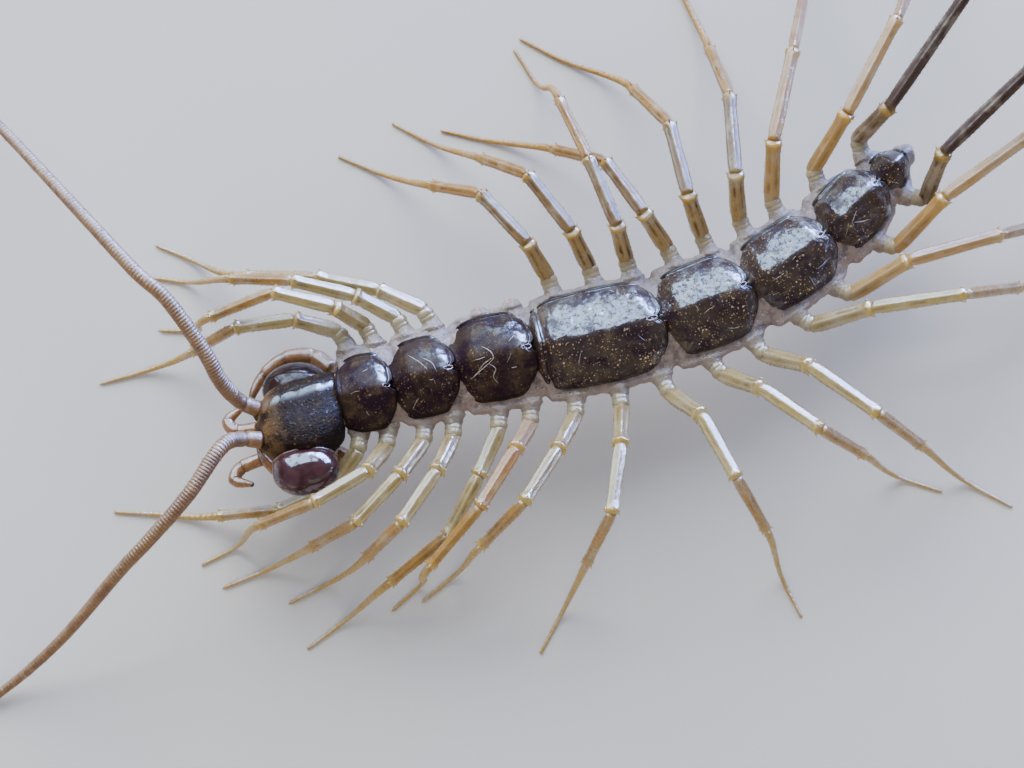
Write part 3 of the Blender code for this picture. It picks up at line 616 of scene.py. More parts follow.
def plate_starts():
    """Station of each plate's front edge, then of the last one's rear edge."""
    starts = [0.0]
    for plate in PLATES:
        starts.append(starts[-1] + plate.length)
    return starts


STARTS = plate_starts()
MIDDLES = [start + plate.length / 2 for start, plate in zip(STARTS, PLATES)]
HEADING_MARKS = [(middle, plate.heading) for middle, plate in zip(MIDDLES, PLATES)]
WIDTH_MARKS = [(middle, plate.width) for middle, plate in zip(MIDDLES, PLATES)]


def heading_at(station):
    """Heading of the body in radians, read between the middles of the plates."""
    return math.radians(read_marks(HEADING_MARKS, station))


def body_line():
    """Places of the body's middle line, from ahead of the neck to behind the tail."""
    places = {0: NECK_PLACE}
    behind = round((TRUNK_LENGTH + LINE_SPARE) / LINE_STEP)
    ahead = round(LINE_SPARE / LINE_STEP)
    for direction, count in ((1, behind), (-1, ahead)):
        x, y = NECK_PLACE
        for i in range(count):
            turn = heading_at(direction * (i + 0.5) * LINE_STEP)
            x += direction * math.cos(turn) * LINE_STEP
            y += direction * math.sin(turn) * LINE_STEP
            places[direction * (i + 1)] = (x, y)
    return places


BODY_LINE = body_line()


def on_body(station, side, height):
    """A point beside the body's middle line: side is positive to the animal's right."""
    step = station / LINE_STEP
    low = math.floor(step)
    x0, y0 = BODY_LINE[low]
    x1, y1 = BODY_LINE[low + 1]
    share = step - low
    turn = heading_at(station)
    lift = BODY_SAG * math.sin(math.pi * clamp(station / TRUNK_LENGTH))
    x = x0 + (x1 - x0) * share - math.sin(turn) * side
    y = y0 + (y1 - y0) * share + math.cos(turn) * side
    return Vector((x, y, height + lift))


def width_at(station):
    """Width of the plates, read from one to the next and narrowing past the last one's middle."""
    last, width = WIDTH_MARKS[-1]
    if station > last:
        tail = min((station - last) / (TRUNK_LENGTH - last), 1.0)
        return width * (1 - TAIL_TAPER * tail)
    return read_marks(WIDTH_MARKS, station)


def leg_stations():
    """Number and station of each pair of legs, from head to tail."""
    stations = []
    for start, plate in zip(STARTS, PLATES):
        for share in plate.legs:
            stations.append((len(stations) + 1, start + plate.length * share))
    return stations


LEG_STATIONS = leg_stations()


# Back plates

def plate_span(index):
    """Length of a plate with the part tucked under the one before and its reach over the next."""
    return PLATES[index].length + PLATE_TUCK + PLATE_REACH


def plate_outline(index, along):
    """Half-width of a plate as a share of its widest, from its front (0) to its rear (1)."""
    front = PLATE_FRONTS[index] + (1 - PLATE_FRONTS[index]) * min(along / 0.55, 1.0)
    off_middle = abs(2 * along - 1)
    corner = REAR_CORNER * off_middle ** 5 if along > 0.5 else FRONT_CORNER * off_middle ** 4
    if index == LAST_PLATE:
        front *= 1 - LAST_PLATE_TAPER * along
    return front * (0.97 - corner + 0.03 * math.sin(math.pi * along))


def plate_top(index, across, ahead, behind, edge, rim):
    """Height of a plate's outer face, from the distances to its front, rear and nearest margin."""
    round_ridge = math.sqrt(across * across + 0.017) - 0.13
    roof = 1 - 0.80 * round_ridge - 0.30 * across ** 4
    height = RIM_HEIGHT + (BACK_HEIGHT - RIM_HEIGHT) * roof
    height += 0.05 * max(0.0, (abs(across) - 0.85) / 0.15)
    lean = REAR_FACET - behind
    height -= REAR_SLOPE * (lean + math.sqrt(lean * lean + 0.01)) / 2
    if index < LAST_PLATE:
        height += 0.07 * bell(across, 0.16) * bell(behind - 0.25, 0.16)
    rise = clamp(ahead / 0.75)
    height -= (FRONT_DIP if index else NECK_DIP) * (1 - rise * rise * (3 - 2 * rise))
    height += rim * bell(edge - 0.07, 0.045)
    height -= rim * 0.9 * bell(edge - 0.17, 0.05)
    height -= 0.08 * bell(edge, 0.05)
    if index == COLLAR_PLATE:
        height += COLLAR_HEIGHT * bell(ahead - 0.17, 0.13)
        height -= COLLAR_GROOVE * bell(ahead - 0.34, 0.05)
    return height


def plate_place(index, across, along, relief=0.0, rim=0.0):
    """A point of a plate's outer face and its distance to the margin."""
    plate = PLATES[index]
    span = plate_span(index)
    half = PLATE_SPREADS[index] * plate.width / 2 * plate_outline(index, along)
    rear = REAR_CURVE * min(plate.length / 2.2, 1.0) * abs(across) ** 3.2
    if index < LAST_PLATE:
        rear += REAR_NOTCH * bell(across, 0.12)
    shift = -rear * max(0.0, (along - 0.5) / 0.5) ** 2
    cut = 0.22 if index else 0.08
    shift += cut * abs(across) ** 3 * max(0.0, (0.5 - along) / 0.5) ** 2
    ahead = span * along + shift - PLATE_TUCK
    edge = min((1 - abs(across)) * half * 1.1, (1 - along) * span)
    if index == 0:
        ahead = (plate.length + PLATE_REACH + NECK_COVER) * along + shift - NECK_COVER
        edge = min(edge, along * span)
    rim *= LEFT_RIM_SHARE + (1 - LEFT_RIM_SHARE) * clamp(across * 4 + 1)
    height = plate_top(index, across, ahead, (1 - along) * span, edge, rim)
    place = on_body(STARTS[index] + ahead, across * half + PLATE_SHIFTS[index], height)
    if relief:
        place.z += 0.35 * rim * bump_noise(place, 0.30, 6.0) * bell(edge - 0.07, 0.06)
        lumps = bump_noise(place, 0.55, 3.0) + 0.6 * bump_noise(place, 0.22, 9.0)
        lumps += 0.30 * bump_noise(place, 0.10, 5.0) + DENTS[index] * bump_noise(place, 0.75, 2.0)
        place.z += relief * lumps * min(edge / 0.2, 1.0)
    return place, edge


def plate_shine(index, across, along):
    """How glossy a plate is: the front three only towards their right rear corner."""
    rear = clamp((along - 0.45) / 0.35)
    if index < FRONT_PLATES:
        return 0.16 * max(across, 0.0) + 0.8 * rear * bell(across - 0.60, 0.26)
    return 1.0 if index < LAST_PLATE else 0.5


def lobe_gloss(index, across, along):
    """The polish of the slope in front of a plate's rear margin, strongest on its right half."""
    behind = (1 - along) * plate_span(index)
    side = clamp(across * 4 + 0.8)
    return side * bell(behind - 0.38, 0.17)


def plate_shape(index, settings):
    """One back plate: two slopes, a raised margin, rounded rear lobes and a rear notch."""
    rim = settings.rim_height / MM
    relief = settings.relief / MM
    rows = round(plate_span(index) / PLATE_ROW_LENGTH)
    top = []
    under = []
    paints = []
    for i in range(rows + 1):
        t = i / rows
        along = t - 0.055 * math.sin(2 * math.pi * t)
        line = []
        low_line = []
        painted = []
        for j in range(PLATE_COLUMNS + 1):
            s = 2 * j / PLATE_COLUMNS - 1
            across = 0.62 * s + 0.38 * math.sin(s * math.pi / 2)
            place, edge = plate_place(index, across, along, relief, rim)
            line.append(place)
            depth = PLATE_THICKNESS * (1 - 0.72 * bell(edge, 0.22))
            low_line.append(place - Vector((0, 0, depth)))
            painted.append({"rim": bell(edge - 0.05, 0.055), "across": across,
                            "shine": plate_shine(index, across, along),
                            "lobe": lobe_gloss(index, across, along)})
        top.append(line)
        under.append(low_line)
        paints.append(painted)
    shape = Shape("rim", "across", "shine", "lobe")
    shape.slab(top, under, lambda i, j: paints[i][j])
    return shape


def breathing_slit_shape():
    """The small raised ring round the breathing slit at the rear notch of every plate but the last."""
    shape = Shape()
    sides = 28
    for index in range(LAST_PLATE):
        size = 0.45 + 0.55 * PLATES[index].width / 3.4
        middle, _ = plate_place(index, 0.0, 0.945)
        ahead, _ = plate_place(index, 0.0, 0.85)
        way = (middle - ahead).normalized()
        right = way.cross(Vector((0, 0, 1))).normalized()
        line = []
        for i in range(sides):
            turn = 2 * math.pi * i / sides
            line.append(middle + way * math.cos(turn) * SLIT_HALF_LENGTH * size
                        + right * math.sin(turn) * SLIT_HALF_WIDTH * size)
        rings = []
        thick = SLIT_THICKNESS * size
        for i, place in enumerate(line):
            along = (line[(i + 1) % sides] - line[i - 1]).normalized()
            rings.append(ring_at(place - Vector((0, 0, 0.012)), along, thick, thick, 10))
        rings.append(rings[0])
        shape.tube(rings, closed=False)
    return shape


def hairline_shape(settings):
    """Pale hair-thin marks that lie on the plates: one forked on the third, short ones elsewhere."""
    shape = Shape()
    lines = list(DRAWN_HAIRLINES)
    rng = random.Random(7)
    for index, plate in enumerate(PLATES):
        for _ in range(round(plate.length * HAIRLINES_PER_MM)):
            along = rng.uniform(0.28, 0.88)
            across = rng.uniform(-0.85, 0.75)
            turn = rng.uniform(0, math.pi)
            reach = rng.uniform(0.06, 0.24)
            bend = rng.uniform(-0.04, 0.04)
            steps = [(along + math.cos(turn) * reach * k / plate.length,
                      across + (math.sin(turn) * reach * k + bend * k * k) * 2 / plate.width)
                     for k in (-1, 0, 1)]
            lines.append((index, rng.uniform(0.005, 0.010), steps))
    for index, thickness, steps in lines:
        marks = []
        for step in smooth_line([Vector((along, across, 0)) for along, across in steps], 6):
            place, _ = plate_place(index, step.y, step.x, settings.relief / MM)
            marks.append(place + Vector((0, 0, thickness * 0.4)))
        path = Path(marks)
        rings = []
        count = max(6, round(path.length / 0.06))
        for i in range(count + 1):
            place, way = path.at(path.length * i / count)
            thick = thickness * math.sin(math.pi * (i + 0.6) / (count + 1.2)) + 0.002
            rings.append(ring_at(place, way, thick, thick * 0.8, 6))
        shape.tube(rings)
    return shape


# Skin

TRUNK_PROFILE = (
    (0.00, BELLY_HEIGHT),
    (0.48, BELLY_HEIGHT + 0.03),
    (0.74, BELLY_HEIGHT + 0.30),
    (0.93, FLANK_HEIGHT + 0.10),
    (0.88, RIM_HEIGHT - 0.25),
    (0.55, RIM_HEIGHT + 0.10),
    (0.00, BACK_HEIGHT - 0.55),
)


def trunk_ring(station, shrink=1.0, pinch=0.0):
    """Cross-section of the soft body; a pinch draws its flanks in at a fold."""
    width = width_at(station)
    reach = (width / 2 + FLANK_BULGE * width / BULGE_WIDTH) * shrink - pinch
    middle = (BELLY_HEIGHT + BACK_HEIGHT) / 2
    half = [Vector((share * reach, middle + (height - middle) * shrink, 0.0))
            for share, height in TRUNK_PROFILE]
    full = half + [Vector((-mark.x, mark.y, 0.0)) for mark in reversed(half[1:-1])]
    full.append(full[0].copy())
    marks = smooth_line(full, 4)[:-1]
    return [on_body(station, mark.x, mark.y) for mark in marks]


def hip(station, outward, swing):
    """Outer end and direction of the short lump that carries a leg."""
    half = width_at(station) / 2
    turn = heading_at(station)
    forward = HIP_SHIFT * math.sin(math.radians(swing))
    edge = on_body(station - forward, outward * (half + COXA_REACH), HIP_HEIGHT)
    out = Vector((-math.sin(turn) * outward, math.cos(turn) * outward, 0.0))
    lean = leg_way(swing, 10, outward)
    return edge, (out * HIP_OUT + lean * HIP_LEAN + Vector((0, 0, HIP_RISE))).normalized()


def scar_place(station, edge):
    """Where the short stump of a lost leg ends."""
    return on_body(station, 0, HIP_HEIGHT).lerp(edge, SCAR_SHARE)


def leg_root(shape, side, outward, number, station, swing):
    """The soft lump of one leg, or the short stump where it is lost."""
    lost = (side, number) in LOST_LEGS
    edge, way = hip(station, outward, LOST_LEG_SWING if lost else swing)
    if lost:
        edge = scar_place(station, edge)
    root = on_body(station, outward * width_at(station) * COXA_ROOT_SHARE, HIP_HEIGHT - 0.35)
    out = (edge - root).normalized()
    tip = edge + way * (0.05 if lost else 0.24)
    shape.tube([
        ring_at(root, out, 0.44, 0.44, ROOT_SIDES),
        ring_at(root.lerp(edge, 0.50), out, 0.45, 0.44, ROOT_SIDES),
        ring_at(root.lerp(edge, 0.78), out, 0.38, 0.37, ROOT_SIDES),
        ring_at(edge - way * 0.04, way, 0.32, 0.32, ROOT_SIDES),
        ring_at(edge.lerp(tip, 0.4), way, 0.29, 0.29, ROOT_SIDES),
        ring_at(tip, way, 0.22, 0.22, ROOT_SIDES),
    ])


def skin_shape():
    """The soft body with its neck, tail end and leg roots, as overlapping closed tubes."""
    shape = Shape()
    rings = []
    count = round(TRUNK_LENGTH / SKIN_STEP)
    for i in range(count + 1):
        station = TRUNK_LENGTH * i / count
        crease = bell(min(abs(station - fold) for fold in STARTS), 0.28)
        rings.append(trunk_ring(station, 1 - FOLD_PINCH * crease, 0.03 * crease))
    for beyond, shrink in TAIL_RINGS:
        rings.append(trunk_ring(TRUNK_LENGTH + beyond, shrink))
    shape.tube(rings)
    neck = []
    body_middle = on_body(0.5, 0, 2.95)
    head_middle = head_point(-0.9, 0.45, -0.05)
    way = (head_middle - body_middle).normalized()
    for i in range(NECK_RINGS + 1):
        t = i / NECK_RINGS
        size = NECK_SIZE - 0.04 * math.sin(2 * math.pi * t * 2.5) - 0.04 * t
        neck.append(ring_at(body_middle.lerp(head_middle, t), way, size * 1.04, size * 0.84, 32))
    shape.tube(neck)
    for number, station in LEG_STATIONS:
        for side, outward, poses in SIDES:
            pose = poses.get(number)
            leg_root(shape, side, outward, number, station, pose.swing if pose else 0)
    return shape


def belly_shape():
    """One low shield under the body for each pair of legs, each reaching over the next one."""
    shape = Shape("rim")
    stations = [station for _, station in LEG_STATIONS]
    borders = [0.05] + [(a + b) / 2 for a, b in zip(stations, stations[1:])] + [TRUNK_LENGTH - 0.1]
    for station, before, after in zip(stations, borders, borders[1:]):
        half = width_at(station) * BELLY_HALF_SHARE
        top = []
        under = []
        rims = []
        for i in range(BELLY_ROWS + 1):
            along = i / BELLY_ROWS
            wide = half * (0.84 + 0.16 * math.sin(math.pi * along)) * (1 - 0.30 * along ** 6)
            place = before + (along * 1.06 - 0.02) * (after - before)
            line = []
            low_line = []
            rim = []
            for j in range(BELLY_COLUMNS + 1):
                across = 2 * j / BELLY_COLUMNS - 1
                edge = min(1 - abs(across), (1 - along) * 1.6)
                drop = 0.09 * min(edge / 0.30, 1.0) ** 0.5 + 0.05 * along
                drop -= 0.04 * bell(across, 0.10)
                curve = 0.10 * abs(across) ** 2.5
                point = on_body(place, across * wide, BELLY_HEIGHT + 0.02 - drop + curve)
                point.z += 0.012 * bump_noise(point, 0.2, 3.0)
                line.append(point)
                low_line.append(on_body(place, across * wide, BELLY_HEIGHT + 0.20 + curve))
                rim.append(bell(edge, 0.12))
            top.append(line)
            under.append(low_line)
            rims.append(rim)
        shape.slab(top, under, lambda i, j, rims=rims: {"rim": rims[i][j]})
    return shape


def scar_shape():
    """Small healed caps where two right legs are missing."""
    shape = Shape()
    for number, station in LEG_STATIONS:
        if ("right", number) not in LOST_LEGS:
            continue
        edge, way = hip(station, 1, LOST_LEG_SWING)
        edge = scar_place(station, edge)
        rings = []
        for i in range(7):
            slope = i / 6 * math.pi / 2
            size = SCAR_SIZE * math.cos(slope) ** 0.7 + 0.005
            rings.append(ring_at(edge + way * (0.02 + 0.13 * math.sin(slope)), way, size, size, ROOT_SIDES))
        shape.tube(rings)
    return shape


# Head

def neck_axes():
    """The head's forward and right directions, level with the floor."""
    turn = math.radians(HEAD_HEADING)
    return Vector((-math.cos(turn), -math.sin(turn), 0)), Vector((-math.sin(turn), math.cos(turn), 0))


def neck_point(forward, side, height):
    """A point given forward and to the right of the neck, and above the head's middle height."""
    ahead, right = neck_axes()
    return Vector((*NECK_PLACE, HEAD_MIDDLE + height)) + ahead * forward + right * side


def head_point(forward, side, height):
    """A point given forward of, to the right of and above the middle of the rolled head."""
    ahead, right = neck_axes()
    roll = math.radians(HEAD_ROLL)
    up = Vector((0, 0, 1))
    rolled_right = right * math.cos(roll) - up * math.sin(roll)
    rolled_up = up * math.cos(roll) + right * math.sin(roll)
    middle = neck_point(HEAD_REACH, HEAD_SIDE, 0)
    return middle + ahead * forward + rolled_right * side + rolled_up * height


def head_groove(forward, across):
    """Depth of the grooves on the head's upper side, less the height of its side ledges."""
    groove = 0.05 * bell(across, 0.06) * bell(forward + 0.2, 0.9)
    groove += 0.06 * bell(forward - 0.75 + 0.5 * across * across, 0.07)
    groove += 0.05 * bell(forward + 0.98, 0.06)
    return groove - 0.04 * bell(abs(across) - 0.86, 0.05)


def head_shape(settings):
    """The head capsule with its grooves, brow folds and feeler sockets."""
    shape = Shape("brow", "shine")
    rows = smooth_line([Vector((row[0], row[1], row[2])) for row in HEAD_ROWS], 5)
    rises = smooth_line([Vector((row[3], row[4], 0)) for row in HEAD_ROWS], 5)
    lumps = settings.roughen / MM
    rings = []
    paints = []
    for row, rise in zip(rows, rises):
        forward, shift, wide = row
        ring = []
        painted = []
        for i in range(HEAD_SIDES):
            turn = 2 * math.pi * i / HEAD_SIDES
            side = math.cos(turn)
            height = math.sin(turn)
            round_off = (abs(side) ** 3 + abs(height) ** 3) ** (-1 / 3)
            reach = HEAD_RISE * rise.x if height > 0 else HEAD_DEPTH * rise.y
            across = side * round_off
            up = height * round_off
            place = head_point(forward, shift + across * HEAD_WIDTH / 2 * wide, up * reach)
            out = (place - head_point(forward, shift, 0)).normalized()
            groove = head_groove(forward, across) if height > 0 else 0.0
            rough = bump_noise(place, 0.45, 1.0) + 0.7 * bump_noise(place, 0.18, 4.0)
            rough += 0.4 * bump_noise(place, 0.08, 7.0)
            ring.append(place + out * (lumps * rough - groove))
            painted.append({"brow": clamp((forward - 0.55) / 0.6),
                            "shine": bell(across - 0.47, 0.16) if height > 0 else 0.3})
        rings.append(ring)
        paints.append(painted)
    shape.tube(rings, lambda i, j: paints[i][j])
    for outward in (-1, 1):
        path = antenna_path(outward)
        start, _ = path.at(0.0)
        _, way = path.at(0.6)
        socket = [ring_at(start - way * back, way, size, size, 24) for back, size in SOCKET_RINGS]
        shape.tube(socket, lambda i, j: {"brow": 1.0})
        down = (head_point(1.1, 0, -1) - head_point(1.38, 0, 0)).normalized()
        upper_lip = []
        for i in range(LIP_STEPS + 1):
            t = i / LIP_STEPS
            centre = head_point(1.38 - 0.25 * t, outward * 0.34, -0.10 - 0.62 * t)
            size = 0.34 * math.sin(math.pi * (0.15 + 0.7 * t)) ** 0.5
            upper_lip.append(ring_at(centre, down, size, size * 0.8, 20))
        shape.tube(upper_lip, lambda i, j: {"brow": 1.0})
    return shape


def eye_point(outward, turn, slope, spread=1.0):
    """A point of an eye: the turn goes round it and the slope from its inner to its outer pole."""
    along, out, high = EYE_HALF_SIZES
    forward, side, height = EYE_PLACE
    return head_point(forward + along * math.sin(slope) * math.cos(turn) * spread,
                      outward * (side - out * math.cos(slope)),
                      height + high * math.sin(slope) * math.sin(turn) * spread)


def eye_shape(outward):
    """One bulging eye."""
    shape = Shape("edge")
    rings = []
    for row in range(EYE_ROWS + 1):
        slope = math.pi * row / EYE_ROWS
        sides = 1 if row in (0, EYE_ROWS) else EYE_SIDES
        rings.append([eye_point(outward, 2 * math.pi * i / EYE_SIDES, slope) for i in range(sides)])
    shape.tube(rings, lambda i, j: {"edge": 1 - clamp((i / EYE_ROWS - 0.3) / 0.3)})
    return shape


def eye_rim_shape(outward):
    """The folded rim that holds an eye, thicker below it."""
    shape = Shape()
    slope = math.radians(EYE_RIM_SLOPE)
    points = [eye_point(outward, 2 * math.pi * i / EYE_RIM_STEPS, slope, EYE_RIM_REACH)
              for i in range(EYE_RIM_STEPS)]
    rings = []
    for i, place in enumerate(points):
        way = (points[(i + 1) % EYE_RIM_STEPS] - points[i - 1]).normalized()
        low = max(0.0, -math.sin(2 * math.pi * i / EYE_RIM_STEPS))
        size = 0.05 + 0.07 * low + 0.012 * bump_noise(place, 0.2, 2.0)
        rings.append(ring_at(place, way, size, size, 12))
    rings.append(rings[0])
    shape.tube(rings, closed=False)
    return shape


# Feelers, claws and palps

def antenna_path(outward):
    """The line of one feeler from its socket to its tip."""
    line = LEFT_ANTENNA_LINE if outward < 0 else RIGHT_ANTENNA_LINE
    forward, side, height = ANTENNA_PLACE
    marks = [head_point(forward, side * outward, height)] + [neck_point(*step) for step in line]
    for mark in marks:
        mark.z = max(mark.z, 0.10)
    return Path(smooth_line(marks, 8))


def feeler_hairs(shape, rng, centre, way, radius):
    """Two fine hairs on the upper side of one ring of a feeler."""
    level, rise = axes_of(way)
    for _ in range(2):
        turn = rng.uniform(-0.4, math.pi + 0.4)
        out = level * math.cos(turn) + rise * math.sin(turn)
        lean = (out * 0.7 + way * 0.7).normalized()
        shape.cone(centre + out * radius * 0.9, lean, HAIR_LENGTH, HAIR_RADIUS, {"ring": 0.5})


def antenna_shape(outward):
    """One feeler: two stout pieces at its base, then many short rings, with fine hairs."""
    shape = Shape("ring")
    path = antenna_path(outward)
    rng = random.Random(11 + outward)
    rings = []
    paints = []
    place = FEELER_START
    while place < FEELER_BASE:
        t = (place - FEELER_START) / (FEELER_BASE - FEELER_START)
        joint = bell(t - 0.48, 0.05)
        radius = FEELER_BASE_RADIUS * (1 - 0.22 * joint) * (1 - 0.10 * t)
        centre, way = path.at(place)
        rings.append(ring_at(centre, way, radius, radius, FEELER_SIDES))
        paints.append({"ring": joint})
        place += 0.05
    length = path.length
    while place < length:
        share = place / length
        step = FEELER_RING_LENGTH * (1 + 0.9 * share)
        radius = FEELER_RADIUS * (1 - share) ** 0.8 + FEELER_TIP_RADIUS
        for part, swell in FEELER_RING:
            centre, way = path.at(min(place + step * part, length))
            centre.z = max(centre.z, radius)
            rings.append(ring_at(centre, way, radius * swell, radius * swell, FEELER_SIDES))
            paints.append({"ring": 1.0 if swell < 0.97 else 0.0})
        if rng.random() < HAIRY_SHARE:
            centre, way = path.at(min(place + step * 0.8, length))
            centre.z = max(centre.z, radius)
            feeler_hairs(shape, rng, centre, way, radius)
        place += step
    end, way = path.at(length)
    tip = end + way * 0.05
    tip.z = max(tip.z, 0.05)
    rings.append([tip])
    paints.append({"ring": 0.0})
    shape.tube(rings, lambda i, j: paints[i])
    return shape


def hook_shape(points, radii, joints, tip_shade):
    """A curved, jointed piece through a line of points, each with its own radius."""
    shape = Shape("tip", "joint")
    path = Path(smooth_line(points, 10))
    marks = []
    reach = 0.0
    for i, radius in enumerate(radii):
        if i:
            reach += (points[i] - points[i - 1]).length
        marks.append((reach, radius))
    scale = path.length / reach
    marks = [(place * scale, radius) for place, radius in marks]
    rings = []
    paints = []
    for i in range(HOOK_STEPS + 1):
        share = i / HOOK_STEPS
        centre, way = path.at(path.length * share)
        crease = sum(bell(share - joint, 0.018) for joint in joints)
        swell = sum(bell(share - joint + 0.05, 0.03) for joint in joints)
        radius = read_marks(marks, path.length * share) * (1 - 0.12 * crease + 0.04 * swell)
        rings.append(ring_at(centre, way, radius, radius * 0.94, HOOK_SIDES))
        paints.append({"tip": clamp((share - tip_shade) / 0.2), "joint": min(crease, 1.0)})
    end, way = path.at(path.length)
    for lead, share in HOOK_END:
        size = radii[-1] * share
        rings.append(ring_at(end + way * radii[-1] * lead * 1.4, way, size, size, HOOK_SIDES))
        paints.append({"tip": 1.0})
    shape.tube(rings, lambda i, j: paints[i])
    return shape


def claw_points(outward):
    """The line of one poison claw under the head; its inner end stops short of the trunk."""
    return [neck_point(forward, THROAT_SIDE + side * outward, height)
            for forward, side, height in CLAW_LINE]


def palp_points(outward):
    """The line of one palp; its inner end stops short of the head."""
    return [head_point(forward, side * outward, height) for forward, side, height in PALP_LINE]


# Legs

def leg_way(swing, pitch, outward):
    """Direction of a leg piece from its swing towards the head and its pitch."""
    turn = math.radians(swing)
    flat = Vector((-math.sin(turn), outward * math.cos(turn), 0.0))
    slope = math.radians(pitch)
    return (flat * math.cos(slope) + Vector((0, 0, math.sin(slope)))).normalized()


def leg_lengths(number):
    """Lengths of the four leg pieces of one pair; the rear pairs grow faster, the last most."""
    sizes = [base + step * number for base, step in (PREFEMUR, FEMUR, TIBIA, TARSUS)]
    if number == LAST_LEG:
        return [size * factor for size, factor in zip(sizes, LAST_LEG_STRETCH)]
    growth = 1 + REAR_GROWTH * max(0, number - FIRST_REAR_LEG + 1)
    return [size * growth for size in sizes]


def leg_joints(number, station, outward, pose):
    """Hip end, its direction, both knees, ankle, tip, and the ways of tibia and lying foot."""
    lengths = leg_lengths(number)
    edge, way = hip(station, outward, pose.swing)
    start = edge + way * HIP_GAP
    swing = pose.swing
    prefemur = leg_way(swing, pose.rise, outward)
    swing += pose.femur_turn
    femur = leg_way(swing, pose.femur_pitch, outward)
    swing += pose.tibia_turn
    tibia = leg_way(swing, pose.tibia_pitch, outward)
    swing += pose.tarsus_turn
    along_floor = leg_way(swing, 0, outward)
    knee_one = start + way * TROCHANTER + prefemur * lengths[0]
    knee_two = knee_one + femur * lengths[1]
    ankle = knee_two + tibia * lengths[2]
    drop = ankle.z - SOLID_FOOT_RADIUS
    reach = math.sqrt(max(lengths[3] ** 2 - drop ** 2, 1.0))
    tip = Vector((ankle.x, ankle.y, SOLID_FOOT_RADIUS)) + along_floor * reach
    return start, way, knee_one, knee_two, ankle, tip, tibia, along_floor


def keeled_ring(centre, way, radius, keel):
    """A six-keeled cross-section: flat faces between raised edges."""
    level, rise = axes_of(way)
    points = []
    for i in range(LEG_SIDES):
        turn = 2 * math.pi * (i / LEG_SIDES) + math.pi / KEELS
        wave = math.cos(KEELS * (turn - math.pi / KEELS))
        size = radius * (1 - keel * 0.8 + keel * 0.5 * wave + keel * 0.9 * max(0.0, wave) ** 6)
        points.append(centre + level * (math.cos(turn) * size) + rise * (math.sin(turn) * size))
    return points


# Along one leg piece: share of its length, size against its radius
PIECE_PROFILE = (
    (0.00, 0.84), (0.03, 0.88), (0.07, 0.95), (0.14, 1.00), (0.30, 1.00), (0.60, 0.93),
    (0.80, 0.90), (0.88, 0.95), (0.935, 1.03), (0.965, 1.02), (0.985, 0.93), (1.00, 0.80),
)


def leg_piece(shape, start, end, radius, order, settings, rng):
    """One keeled leg piece with its end collar, spurs and rows of spines."""
    way = (end - start).normalized()
    length = (end - start).length
    shares = [i / LEG_ROWS for i in range(LEG_ROWS - 2)] + [0.945, 0.96, 0.975, 0.99, 1.0]
    rings = []
    paints = []
    for share in shares:
        size = radius * read_marks(PIECE_PROFILE, share)
        knob = bell(share - 0.975, 0.06)
        keel = settings.keel_height * (1 - knob) * min(share / 0.08, 1.0)
        rings.append(keeled_ring(start + way * length * share, way, size, keel))
        row = []
        for i, place in enumerate(rings[-1]):
            wave = math.cos(2 * math.pi * KEELS * i / LEG_SIDES)
            wander = bump_noise(place, 0.5, order * 3.0)
            swell = bump_noise(place, 0.16, 4.0) * radius * (0.025 + 0.05 * knob)
            rings[-1][i] = place + (place - start - way * length * share).normalized() * swell
            row.append({"piece": order + share, "knob": knob, "crest": max(0.0, wave) ** 4,
                        "stripe": max(0.0, -wave * 0.8 + 0.5 * wander) * (1 - knob)})
        paints.append(row)
    rings.append([end + way * radius * 0.25])
    paints.append([{"piece": order + 1.0, "knob": 1.0}])
    shape.tube(rings, lambda i, j: paints[i][j])
    leg_spines(shape, start, end, radius, order, settings, rng)


def leg_spines(shape, start, end, radius, order, settings, rng):
    """The spurs at the end of one leg piece and the rows of spines along its keels."""
    way = (end - start).normalized()
    length = (end - start).length
    level, rise = axes_of(way)
    spur = settings.spur_length / MM
    spine = settings.spine_length / MM
    for k in range(KEELS):
        turn = 2 * math.pi * k / KEELS + math.pi / KEELS
        out = level * math.cos(turn) + rise * math.sin(turn)
        root = end - way * 0.14 + out * radius * 1.02
        reach = (spur if k in LONG_SPURS else spur * 0.45) * rng.uniform(0.85, 1.1)
        lean = (way * 0.85 + out * 0.5).normalized()
        shape.cone(root, lean, reach, SPUR_RADIUS, {"piece": order + 0.97, "knob": 0.8})
        place = 0.20 + rng.uniform(0.0, 0.1)
        while place < length - 0.30:
            share = place / length
            size = radius * read_marks(PIECE_PROFILE, share)
            root = start + way * place + out * size * 0.97
            lean = (way * 0.8 + out * 0.6).normalized()
            shape.cone(root, lean, spine * rng.uniform(0.7, 1.3), SPINE_RADIUS,
                       {"piece": order + share, "stripe": 0.6})
            place += rng.uniform(0.16, 0.30)


def foot_path(ankle, tip, leave, arrive, radius_at):
    """The curve of a foot: it bends down and its last stretch lies on the floor."""
    span = (tip - ankle).length
    lie = tip - arrive * span * 0.24
    handle_a = ankle + leave * span * 0.30
    handle_b = lie - arrive * span * 0.30
    lie.z = radius_at(0.8)
    handle_b.z = lie.z
    points = []
    for i in range(FOOT_STEPS + 1):
        t = i / FOOT_STEPS
        points.append(ankle * (1 - t) ** 3 + handle_a * 3 * t * (1 - t) ** 2
                      + handle_b * 3 * t * t * (1 - t) + lie * t ** 3)
    end = tip.copy()
    end.z = radius_at(1.0)
    points.append(end)
    return Path(points)


